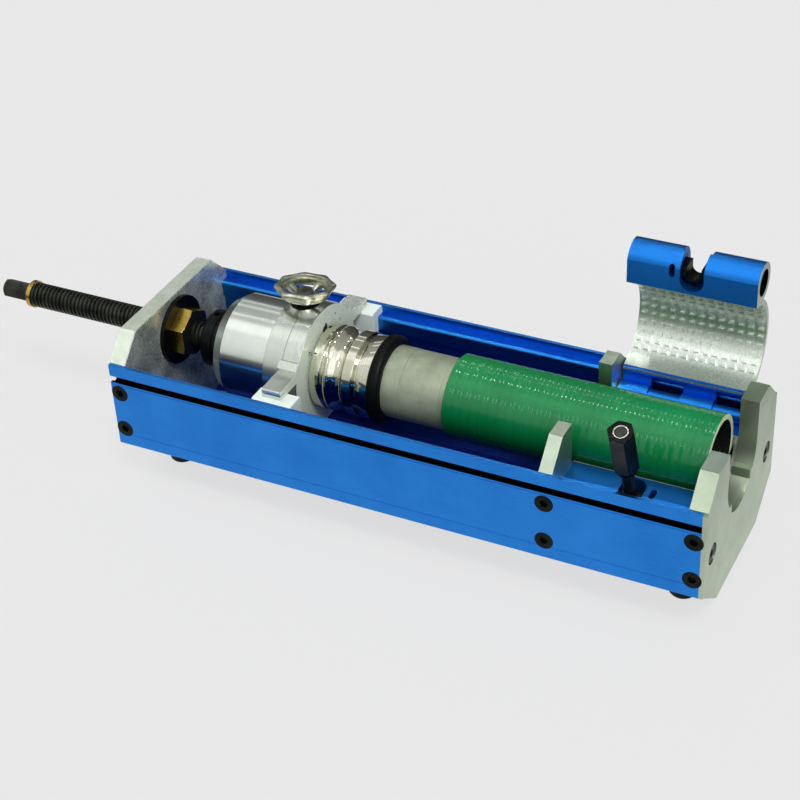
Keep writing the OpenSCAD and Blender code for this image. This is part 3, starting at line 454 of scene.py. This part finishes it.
def hoseFinish(tree):
    parts = axisParts(tree, objectPoint(tree))
    radius = axisRadius(tree, hoseAxis["y"], hoseAxis["z"])
    cloud = noise(tree, 0.05, 2)
    grit = noise(tree, 0.0016, 3, 0.6)
    colour = mixColour(tree, ramp(tree, cloud, 0.2, 0.8), tones["hose"], tones["hoseDeep"])
    # Painted shade: the hose darkens towards its lower side
    upper = ramp(tree, parts[2], *(place(0, 0, z).z for z in hoseLook["shade"]))
    colour = mixColour(tree, upper, tones["hosePaintedShade"], colour)
    # Painted shade: the hose's inside is coloured black
    inside = radius < hoseLook["inside"] / 1000
    colour = mixColour(tree, inside, colour, tones["blackDeep"])
    cut = ramp(tree, parts[0], *(place(x, 0, 0).x for x in changeAt["hoseCut"]))
    colour = mixColour(tree, cut, colour, tones["hoseCut"])
    return {"Base Color": colour, "Roughness": 0.2 + grit * 0.1 + inside * 0.4,
            "Normal": bumpFrom(tree, grit, 0.00001, 0.4)}


# Foot and lean of the bolt in rail mm and degrees, and in mm from its foot and its axis
# # the painted highlight, a bright ring, on its nut's end
nutRingHighlight = {"foot": (574.5, 41.5, 60.1), "lean": 19, "above": 119.3, "inner": 6.4, "outer": 7.4}


# Black nut with a painted highlight: a bright ring round the bolt's end
def clampNutFinish(tree):
    base = oxide("black", "blackDeep")(tree)
    lean = math.radians(nutRingHighlight["lean"])
    parts = axisParts(tree, objectPoint(tree))
    dx, dy, dz = (part - value for part, value in zip(parts, place(*nutRingHighlight["foot"])))
    reach = dz * math.cos(lean) - dy * math.sin(lean)
    across = dy * math.cos(lean) + dz * math.sin(lean)
    radius = (dx * dx + across * across) ** 0.5
    # Painted highlight: a bright ring on the nut round the bolt's end
    ring = (reach > nutRingHighlight["above"] / 1000) * (radius > nutRingHighlight["inner"] / 1000) \
        * (radius < nutRingHighlight["outer"] / 1000)
    return {"Base Color": mixColour(tree, ring, base["Base Color"], tones["bright"]),
            "Roughness": base["Roughness"], "Metallic": 0.75 + ring * 0.25,
            "Normal": base["Normal"]}


# Brass drive nut, black past its first stretch
def nutFinish(tree):
    parts = axisParts(tree, objectPoint(tree))
    base = plain("brass", "brassDeep", 0.2, 0.002)(tree)
    painted = parts[0] > place(changeAt["nutPaint"], 0, 0).x
    return {"Base Color": mixColour(tree, painted, base["Base Color"], tones["black"]),
            "Roughness": base["Roughness"] + painted * 0.16, "Normal": base["Normal"],
            "Metallic": 1 - painted * 0.7}


finish("frontRailAnodised", railFinish(0, 1), metallic=1.0)
finish("rearRailAnodised", railFinish(219, -1), metallic=1.0)
finish("panPaint", anodised("panBlue", "panBlueDeep", 0.004), metallic=0.7)
finish("plateBlasted", blasted("plate", "plateDeep", 0.0007), metallic=1.0)
finish("endPlateBlasted", endPlateFinish)
finish("yokeBlasted", blasted("yoke", "yokeDeep", 0.0007), metallic=1.0)
finish("upperJawFinish", jawFinish(upperJaw))
finish("lowerJawFinish", jawFinish(lowerJaw))
finish("hoseRubber", hoseFinish, Coat_Weight=0.45, Coat_Roughness=0.03, Specular_IOR_Level=0.2)
finish("ramTurned", turnedMetal("ram", "ramDeep", 0.0006,
                                {"rough": 0.12, "spread": 0.12, "depth": 0.00002}), metallic=1.0)
finish("chuckTurned", chuckFinish)
finish("fittingPolished", fittingFinish)
finish("sliderPlastic", plain("slider", "sliderDeep", 0.4))
finish("wheelCast", castMetal("wheel", "wheelDeep"), metallic=1.0)
finish("wheelNutSteel", castMetal("wheelNut", "wheelNutDeep"), metallic=1.0)
finish("nutBrass", nutFinish)
finish("brassTurned", plain("brass", "brassDeep", 0.2, 0.001), metallic=1.0)
finish("blackOxide", oxide("black", "blackDeep"), metallic=0.75, Specular_IOR_Level=0.3)
finish("clampNutOxide", clampNutFinish, Specular_IOR_Level=0.3)
finish("screwOxide", oxide("screwBlack", "screwBlackDeep"), metallic=0.7)
finish("footRubber", plain("rubber", "rubberDeep", 0.4), Specular_IOR_Level=0.12)
finish("brightSteel", plain("bright", "brightDeep", 0.22, 0.001), metallic=1.0)
print("finishes made:", len(finishes))

nodeFinish = {
    "front_rail": "frontRailAnodised", "rear_rail": "rearRailAnodised", "floor_pan": "panPaint",
    "screw_end_plate": "endPlateBlasted", "middle_yoke": "yokeBlasted",
    "clamp_end_yoke": "plateBlasted", "side_screws": "blackOxide",
    "yoke_cap_screws": "blackOxide", "rubber_feet": "footRubber", "foot_screws": "brightSteel",
    "nut_flange": "blackOxide", "drive_nut": "nutBrass", "lower_jaw": "lowerJawFinish",
    "hinge_pin": "brightSteel", "hose": "hoseRubber", "ram_body": "ramTurned",
    "chuck_ring": "chuckTurned", "front_slider": "sliderPlastic", "rear_slider": "sliderPlastic",
    "slider_screws": "brightSteel", "thrust_bearing": "brightSteel",
    "spindle_bushing": "blackOxide", "hose_fitting": "fittingPolished",
    "fitting_seal": "footRubber", "drive_screw": "screwOxide", "drive_hex": "screwOxide",
    "screw_ring": "brassTurned", "thrust_collar": "blackOxide", "lock_pad": "brassTurned",
    "lock_spindle": "wheelCast", "handwheel": "wheelCast", "wheel_nut": "wheelNutSteel",
    "upper_jaw": "upperJawFinish", "clamp_bar": "blackOxide", "bar_setscrew": "blackOxide",
    "pivot_bar": "blackOxide", "swing_stud": "screwOxide", "clamp_washer": "blackOxide",
    "clamp_nut": "clampNutOxide",
}
bodyOf = {part: body for body, held in frame["record"]["behaviour"]["bodies"].items()
          for part in held}


def wear(piece, name):
    piece.data.materials.clear()
    piece.data.materials.append(finishes[name])


for nodeName, finishName in nodeFinish.items():
    wear(nodes[nodeName], finishName)
print("finishes on the frame")


def only(piece):
    bpy.ops.object.select_all(action="DESELECT")
    piece.select_set(True)
    bpy.context.view_layer.objects.active = piece


def settle(piece):
    only(piece)
    bpy.ops.object.transform_apply(location=True, rotation=True, scale=True)


def applyAll(piece):
    only(piece)
    for modifier in list(piece.modifiers):
        bpy.ops.object.modifier_apply(modifier=modifier.name)


# Doubles nearer than weld metres are merged and faces flat within flat degrees joined; an
# edge sharper than edge degrees is rounded, and one sharper than smooth shades sharp
easing = {"weld": 0.000004, "flat": 0.4, "segments": 2, "edge": 32, "smooth": 30}


def easedCopy(nodeName, pieceName, width):
    source = nodes[nodeName]
    piece = source.copy()
    piece.data = source.data.copy()
    piece.name = pieceName
    piece.parent = None
    piece.matrix_world = Matrix.Identity(4)
    bpy.context.scene.collection.objects.link(piece)
    only(piece)
    bpy.ops.object.mode_set(mode="EDIT")
    bpy.ops.mesh.select_all(action="SELECT")
    bpy.ops.mesh.remove_doubles(threshold=easing["weld"])
    bpy.ops.mesh.dissolve_limited(angle_limit=math.radians(easing["flat"]))
    bpy.ops.object.mode_set(mode="OBJECT")
    bevel = piece.modifiers.new("ease", "BEVEL")
    bevel.width = width
    bevel.segments = easing["segments"]
    bevel.limit_method = "ANGLE"
    bevel.angle_limit = math.radians(easing["edge"])
    bevel.use_clamp_overlap = True
    applyAll(piece)
    bpy.ops.object.shade_smooth_by_angle(angle=math.radians(easing["smooth"]))
    weigh = piece.modifiers.new("weigh", "WEIGHTED_NORMAL")
    weigh.keep_sharp = True
    applyAll(piece)
    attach(piece, bodyOf[nodeName])
    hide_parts(nodeName)
    return piece


# Each piece's name and the width of its eased edges in metres
easedEdges = {
    "front_rail": ("frontRailSkin", 0.0006), "rear_rail": ("rearRailSkin", 0.0006),
    "floor_pan": ("floorPanSkin", 0.0006), "screw_end_plate": ("endPlateSkin", 0.0012),
    "middle_yoke": ("middleYokeSkin", 0.0016), "clamp_end_yoke": ("endYokeSkin", 0.0013),
    "lower_jaw": ("lowerJawSkin", 0.0003), "clamp_nut": ("clampNutSkin", 0.0007),
    "drive_nut": ("driveNutSkin", 0.0006), "front_slider": ("frontSliderSkin", 0.0006),
    "rear_slider": ("rearSliderSkin", 0.0006), "chuck_ring": ("chuckRingSkin", 0.0004),
    "drive_hex": ("driveHexSkin", 0.0004), "clamp_bar": ("clampBarSkin", 0.0006),
}
for nodeName, (pieceName, width) in easedEdges.items():
    piece = easedCopy(nodeName, pieceName, width)
    print("eased", nodeName, len(piece.data.polygons), "faces")


# Metres within which a spun piece's seam and poles close, and degrees past which it
# shades sharp
spinning = {"weld": 0.000002, "smooth": 40}


# Spins a profile of (along, out) in mm round the x axis
def spun(name, points, steps, rise=0.0, turns=1):
    start = points[0]
    bpy.ops.object.select_all(action="DESELECT")
    bpy.ops.mesh.primitive_plane_add(size=0.001, location=(0, 0, 0))
    piece = bpy.context.active_object
    piece.name = name
    bpy.ops.object.mode_set(mode="EDIT")
    bpy.ops.mesh.select_all(action="SELECT")
    bpy.ops.mesh.merge(type="CENTER")
    bpy.ops.transform.translate(value=(start[0] / 1000, 0, start[1] / 1000))
    for before, after in zip(points, points[1:]):
        step = ((after[0] - before[0]) / 1000, 0, (after[1] - before[1]) / 1000)
        bpy.ops.mesh.extrude_region_move(TRANSFORM_OT_translate={"value": step})
    bpy.ops.object.mode_set(mode="OBJECT")
    spin = piece.modifiers.new("spin", "SCREW")
    spin.axis = "X"
    spin.steps = steps
    spin.render_steps = steps
    spin.screw_offset = rise
    spin.iterations = turns
    spin.use_merge_vertices = True
    spin.merge_threshold = spinning["weld"]
    applyAll(piece)
    bpy.ops.object.mode_set(mode="EDIT")
    bpy.ops.mesh.select_all(action="SELECT")
    bpy.ops.mesh.remove_doubles(threshold=spinning["weld"])
    bpy.ops.object.mode_set(mode="OBJECT")
    return piece


# Moves a finished piece to its place, with its finish and body
def seat(piece, spot, finishName, body):
    piece.matrix_world = spot
    settle(piece)
    bpy.ops.object.mode_set(mode="EDIT")
    bpy.ops.mesh.select_all(action="SELECT")
    bpy.ops.mesh.normals_make_consistent(inside=False)
    bpy.ops.object.mode_set(mode="OBJECT")
    bpy.ops.object.shade_smooth_by_angle(angle=math.radians(spinning["smooth"]))
    wear(piece, finishName)
    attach(piece, body)
    return piece


def spunProfile(name, points, body, finishName, steps=96, rise=0.0, turns=1):
    spot = Matrix.Translation(place(0, hoseAxis["y"], hoseAxis["z"]))
    return seat(spun(name, points, steps, rise, turns), spot, finishName, body)


# Hose in mm, along rail x and out from its axis
hoseShape = {"start": 359, "end": 638, "outer": 45.3, "bore": 38.8, "pitch": 9.6, "dip": 0.36,
             "steps": 160}


def hoseProfile(shape):
    points = [(shape["start"], shape["bore"]), (shape["start"], shape["outer"] - 0.8),
              (shape["start"] + 0.8, shape["outer"] - 0.05)]
    x = shape["start"] + 3
    while x < shape["end"] - 3:
        phase = 2 * math.pi * (x - shape["start"]) / shape["pitch"]
        points.append((x, shape["outer"] - 0.02 - shape["dip"] * (0.5 + 0.5 * math.cos(phase))))
        x += shape["pitch"] / 12
    points += [(shape["end"] - 0.6, shape["outer"] - 0.05), (shape["end"], shape["outer"] - 0.6),
               (shape["end"], shape["bore"] + 0.6), (shape["end"] - 0.6, shape["bore"]),
               (shape["start"], shape["bore"])]
    return points


hosePiece = spunProfile("ribbedHose", hoseProfile(hoseShape), "frame",
                        "hoseRubber", hoseShape["steps"])
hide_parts("hose")
print("hose made")

# Fitting and seal in mm, along rail x and out from the hose axis
fittingShape = {"chuck": 203.5, "collar": 45.7, "shank": 38.45, "bore": 34.5, "end": 400,
                "groove": (306.2, 306.4, 307, 307.2), "seal": 273.2, "sealEnd": 286,
                "sealRadius": 47.35, "steps": 128}


def fittingProfile(shape):
    c, f, s, e = shape["chuck"], shape["collar"], shape["shank"], shape["end"]
    g = shape["groove"]
    bulge = [(16.6, -2.4), (17.4, -1.4), (18.4, -0.6), (19.6, 0), (21, 0.3), (22.4, 0.1),
             (23.8, -0.5), (25.2, -1.4), (26.6, -2.5), (28, -3.6), (29.5, -4.5), (31.3, -5),
             (33.5, -5.1), (35.5, -4.9), (37.2, -4.2), (38.5, -3.1), (39.4, -1.8), (40, -0.7)]
    return ([(c - 35.5, 30), (c - 35.5, 37), (c - 34.5, 38), (c + 3.1, 38), (c + 3.1, f - 1),
             (c + 3.9, f), (c + 13.6, f), (c + 14.6, f - 0.9), (c + 15.2, f - 2.4)]
            + [(c + x, f + r) for x, r in bulge]
            + [(c + 40.7, f), (c + 50.5, f), (c + 51.3, f - 0.8), (c + 51.3, f - 4.9),
               (c + 55.9, f - 4.9), (c + 55.9, f - 1.3), (c + 56.7, f - 0.7), (c + 68.3, f - 0.7),
               (c + 68.9, f + 0.6), (shape["seal"], f + 0.6), (shape["seal"], s + 0.25),
               (g[0], s + 0.25), (g[1], s - 0.3), (g[2], s - 0.3), (g[3], s),
               (e - 48.3, s), (e - 48.1, s - 0.35), (e - 47.6, s - 0.35), (e - 47.4, s),
               (e - 2, s), (e, s - 1.4), (e, shape["bore"]),
               (c - 27.5, shape["bore"]), (c - 32.5, 30), (c - 35.5, 30)])


def sealProfile(shape):
    a, b, r = shape["seal"] + 0.1, shape["sealEnd"], shape["sealRadius"]
    s = shape["shank"] + 0.35
    return [(a, s), (a, r - 0.9), (a + 0.8, r), (a + 3, r), (a + 3.6, r - 0.7),
            (a + 4.2, r - 0.05), (a + 8, r), (b - 2.4, r - 0.6), (b - 0.7, r - 2), (b, r - 4),
            (b, s), (a, s)]


fittingPiece = spunProfile("polishedFitting", fittingProfile(fittingShape), "carriage",
                           "fittingPolished", fittingShape["steps"])
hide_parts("hose_fitting")
sealPiece = spunProfile("ridgedSeal", sealProfile(fittingShape), "carriage",
                        "footRubber")
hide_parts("fitting_seal")
print("fitting and seal made")

# Handwheel in mm and degrees; heights are distances from the hose axis along the leaning
# spindle. The hub is a profile of (height, radius), and a spoke's ends are
# (height, thickness, width, radius)
wheelShape = {
    "x": 178.2, "lean": 8, "bottom": 76, "top": 87.6, "steps": 96,
    "lobes": 8, "turn": 30, "depth": 2.9, "crest": 33.1, "lobedFrom": 26.5, "bluntness": 1.35,
    "hub": [(66.85, 4.6), (66.85, 8.8), (67.6, 9.4), (75.7, 8.8), (76.25, 8.2), (76.25, 4.6),
            (66.85, 4.6)], "hubSteps": 64,
    "spokes": 4, "spokeTurn": 75, "spokeIn": (72.4, 6.4, 4.6, 6.4),
    "spokeOut": (79.4, 7.4, 7, 23.2), "spokeEase": 0.8,
}


def wheelRim(shape):
    b, t = shape["bottom"], shape["top"]
    return [(t - 2.4, 24.3), (t - 0.4, 24.3), (t, 24.8), (t, 31.6), (t - 0.6, 32.6),
            (t - 1.9, 33.15), (t - 4.2, 32.2), (b + 3.2, 28.8), (b + 1, 27.2), (b, 26),
            (b, 24.4), (b + 1.6, 22.2), (t - 5, 20.9), (t - 2.9, 21.2), (t - 2.4, 21.8),
            (t - 2.4, 24.3)]


# Draws the rim's columns of points in between the lobes
def lobedRim(shape):
    piece = spun("castHandwheel", wheelRim(shape), shape["steps"])
    pitch = 360 / shape["lobes"]
    column = 360 / shape["steps"]
    groups = {}
    for vertex in piece.data.vertices:
        spot = vertex.co
        if math.hypot(spot.y, spot.z) > shape["lobedFrom"] / 1000:
            phase = (math.degrees(math.atan2(spot.y, -spot.z)) - shape["turn"]) % pitch
            phase = min(phase, pitch - phase)
            groups.setdefault(round(phase / column), []).append(vertex.index)
    for step, chosen in sorted(groups.items()):
        wave = abs(math.sin(math.radians(step * column * shape["lobes"] / 2)))
        factor = 1 - shape["depth"] / shape["crest"] * wave ** shape["bluntness"]
        only(piece)
        bpy.ops.object.mode_set(mode="EDIT")
        bpy.ops.mesh.select_mode(type="VERT")
        bpy.ops.mesh.select_all(action="DESELECT")
        bpy.ops.object.mode_set(mode="OBJECT")
        for index in chosen:
            piece.data.vertices[index].select = True
        bpy.ops.object.mode_set(mode="EDIT")
        bpy.ops.transform.resize(value=(1, factor, factor), center_override=(0, 0, 0))
        bpy.ops.object.mode_set(mode="OBJECT")
    return piece


# One spoke leaning up from the hub to the rim, as a cube with both ends resized and moved
def wheelSpoke(inner, outer, ease):
    bpy.ops.object.select_all(action="DESELECT")
    bpy.ops.mesh.primitive_cube_add(size=1, location=(0, 0, 0))
    piece = bpy.context.active_object
    for sign, (reach, high, wide, radius) in ((-1, inner), (1, outer)):
        bpy.ops.object.mode_set(mode="EDIT")
        bpy.ops.mesh.select_mode(type="VERT")
        bpy.ops.mesh.select_all(action="DESELECT")
        bpy.ops.object.mode_set(mode="OBJECT")
        for vertex in piece.data.vertices:
            vertex.select = vertex.co.z * sign > 0.2
        bpy.ops.object.mode_set(mode="EDIT")
        bpy.ops.transform.resize(value=(high / 1000, wide / 1000, 1), center_override=(0, 0, 0))
        bpy.ops.transform.translate(value=(reach / 1000, 0, radius / 1000 - sign * 0.5))
        bpy.ops.object.mode_set(mode="OBJECT")
    bpy.ops.object.mode_set(mode="EDIT")
    bpy.ops.mesh.select_all(action="SELECT")
    bpy.ops.mesh.bevel(offset=ease / 1000, segments=2, affect="EDGES")
    bpy.ops.object.mode_set(mode="OBJECT")
    return piece


def handwheel(shape):
    rim = lobedRim(shape)
    hub = spun("wheelHub", shape["hub"], shape["hubSteps"])
    parts = [rim, hub]
    spoke = wheelSpoke(shape["spokeIn"], shape["spokeOut"], shape["spokeEase"])
    for number in range(shape["spokes"]):
        piece = spoke if number == 0 else spoke.copy()
        if number:
            piece.data = spoke.data.copy()
            bpy.context.scene.collection.objects.link(piece)
        parts.append(piece)
    for number, piece in enumerate(parts[2:]):
        turn = math.radians(shape["spokeTurn"] + number * 360 / shape["spokes"])
        piece.matrix_world = Matrix.Rotation(turn, 4, "X")
        settle(piece)
    bpy.ops.object.select_all(action="DESELECT")
    for piece in parts:
        piece.select_set(True)
    bpy.context.view_layer.objects.active = rim
    bpy.ops.object.join()
    spot = Matrix.Translation(place(shape["x"], hoseAxis["y"], hoseAxis["z"])) \
        @ Matrix.Rotation(math.radians(-shape["lean"]), 4, "X") \
        @ Matrix.Rotation(math.radians(-90), 4, "Y")
    return seat(rim, spot, "wheelCast", "wheel")


wheelPiece = handwheel(wheelShape)
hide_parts("handwheel")
print("handwheel made", len(wheelPiece.data.polygons))

# Drive screw in mm, along rail x and out from the hose axis
screwShape = {"tip": -177.5, "end": 112.6, "outer": 14.05, "root": 12.2, "pitch": 5.08,
              "steps": 40}


def screwThread(shape):
    p = shape["pitch"]
    points = [(shape["tip"], shape["root"]), (shape["tip"] + 0.29 * p, shape["root"]),
              (shape["tip"] + 0.42 * p, shape["outer"]), (shape["tip"] + 0.82 * p, shape["outer"]),
              (shape["tip"] + 0.95 * p, shape["root"]), (shape["tip"] + p, shape["root"])]
    turns = int((shape["end"] - shape["tip"]) / p) - 1
    return spunProfile("screwThread", points, "screw", "screwOxide",
                       shape["steps"], p / 1000, turns)


threadPiece = screwThread(screwShape)
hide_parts("drive_screw")
print("screw thread made", len(threadPiece.data.polygons))

studio = {
    "backdrop": 0.80, "floor": linear(190, 190, 190), "floorSize": 30, "drop": 0.0005,
    # The floor's glow as the camera and reflections see it, and how it falls off in metres
    "paper": 0.857, "paperShare": 0.8, "farPaper": 0.05, "near": 0.5, "far": 1.1,
    "sun": 1.6, "sunAngle": 14, "sunAim": (-0.34, 0.4, -0.85),
    # A soft patch of light to the right, within these cosines of its direction
    "side": (0.75, -0.6, 0.35), "sideWithin": (0.9, 0.95), "sideLight": 0.7, "tentPeak": 1.2,
    # Brightness of the light tent by angle in degrees, from the front horizon over the top
    "tent": [(0, 0.06), (6, 0.07), (9, 0.66), (30, 0.84), (60, 0.88), (65, 1.2), (84, 1.2),
             (89, 0.55), (103, 0.45), (125, 0.4), (146, 0.3), (150, 0.12), (180, 0.07)],
    # Strips of light: angle, half width in degrees, range of directions along x, brightness
    "strips": [(101, 1.6, -0.6, -0.38, 1.0), (128, 1.6, -0.6, -0.38, 1.0),
               (144, 1.6, -0.6, -0.38, 1.0), (101, 1.3, -0.3, -0.22, 44),
               (124, 0.9, -0.3, -0.24, 26), (140, 0.9, -0.3, -0.24, 22),
               (46, 7, -0.275, -0.255, 16)],
}


def setFloor(values):
    bpy.ops.object.select_all(action="DESELECT")
    bpy.ops.mesh.primitive_grid_add(x_subdivisions=4, y_subdivisions=4,
                                    size=values["floorSize"], location=(0, 0, -values["drop"]))
    floor = bpy.context.active_object
    floor.name = "studioFloor"
    settle(floor)
    material = bpy.data.materials.new("floorPaper")
    material.use_nodes = True
    tree = material.node_tree
    shader = tree.nodes["Principled BSDF"]
    shader.inputs["Base Color"].default_value = values["floor"]
    shader.inputs["Roughness"].default_value = 0.9
    path = addNode(tree, "ShaderNodeLightPath").socket.node
    seen = Wire(tree, path.outputs["Is Camera Ray"])
    mirrored = Wire(tree, path.outputs["Is Glossy Ray"])
    parts = axisParts(tree, objectPoint(tree))
    reach = (parts[0] * parts[0] + parts[1] * parts[1]) ** 0.5
    beyond = ramp(tree, reach, values["near"], values["far"]) * mirrored
    tone = mixColour(tree, beyond, (values["paper"],) * 3 + (1,),
                     (values["farPaper"],) * 3 + (1,))
    paper = addNode(tree, "ShaderNodeEmission", None, {"Color": tone, "Strength": 1.0})
    surface = addNode(tree, "ShaderNodeMixShader", None,
                      {0: seen * values["paperShare"] + mirrored})
    joint = surface.socket.node
    tree.links.new(shader.outputs[0], joint.inputs[1])
    tree.links.new(paper.socket, joint.inputs[2])
    tree.links.new(surface.socket, tree.nodes["Material Output"].inputs["Surface"])
    floor.data.materials.append(material)


def setSky(values):
    world = bpy.data.worlds.new("studioSky")
    bpy.context.scene.world = world
    world.use_nodes = True
    tree = world.node_tree
    direction = addNode(tree, "ShaderNodeTexCoord", out="Generated")
    parts = axisParts(tree, direction)
    turn = addNode(tree, "ShaderNodeMath", {"operation": "ARCTAN2"},
                   {0: parts[2], 1: 0 - parts[1]})
    peak = values["tentPeak"]
    tent = addNode(tree, "ShaderNodeValToRGB", {"stops": [
        (degrees / 180, (level / peak,) * 3 + (1,)) for degrees, level in values["tent"]]},
        {0: turn / math.pi})
    facing = addNode(tree, "ShaderNodeVectorMath", {"operation": "DOT_PRODUCT"},
                     {0: direction, 1: Vector(values["side"]).normalized()}, out="Value")
    glow = tent * peak + ramp(tree, facing, *values["sideWithin"]) * values["sideLight"]
    for angle, half, left, right, light in values["strips"]:
        off = addNode(tree, "ShaderNodeMath", {"operation": "ABSOLUTE"},
                      {0: turn - math.radians(angle)})
        glow = (off < math.radians(half)) * (parts[0] > left) * (parts[0] < right) * light + glow
    path = addNode(tree, "ShaderNodeLightPath")
    background = tree.nodes["Background"]
    background.inputs["Color"].default_value = (1, 1, 1, 1)
    strength = path * values["backdrop"] + (1 - path) * glow
    tree.links.new(strength.socket, background.inputs["Strength"])


def setSun(values):
    data = bpy.data.lights.new("keySun", "SUN")
    data.energy = values["sun"]
    data.angle = math.radians(values["sunAngle"])
    key = bpy.data.objects.new("keySun", data)
    bpy.context.scene.collection.objects.link(key)
    aim = Vector(values["sunAim"]).normalized()
    key.rotation_euler = aim.to_track_quat("-Z", "Y").to_euler()


setFloor(studio)
setSky(studio)
setSun(studio)
bpy.context.scene.view_settings.view_transform = "Standard"
print("studio set")
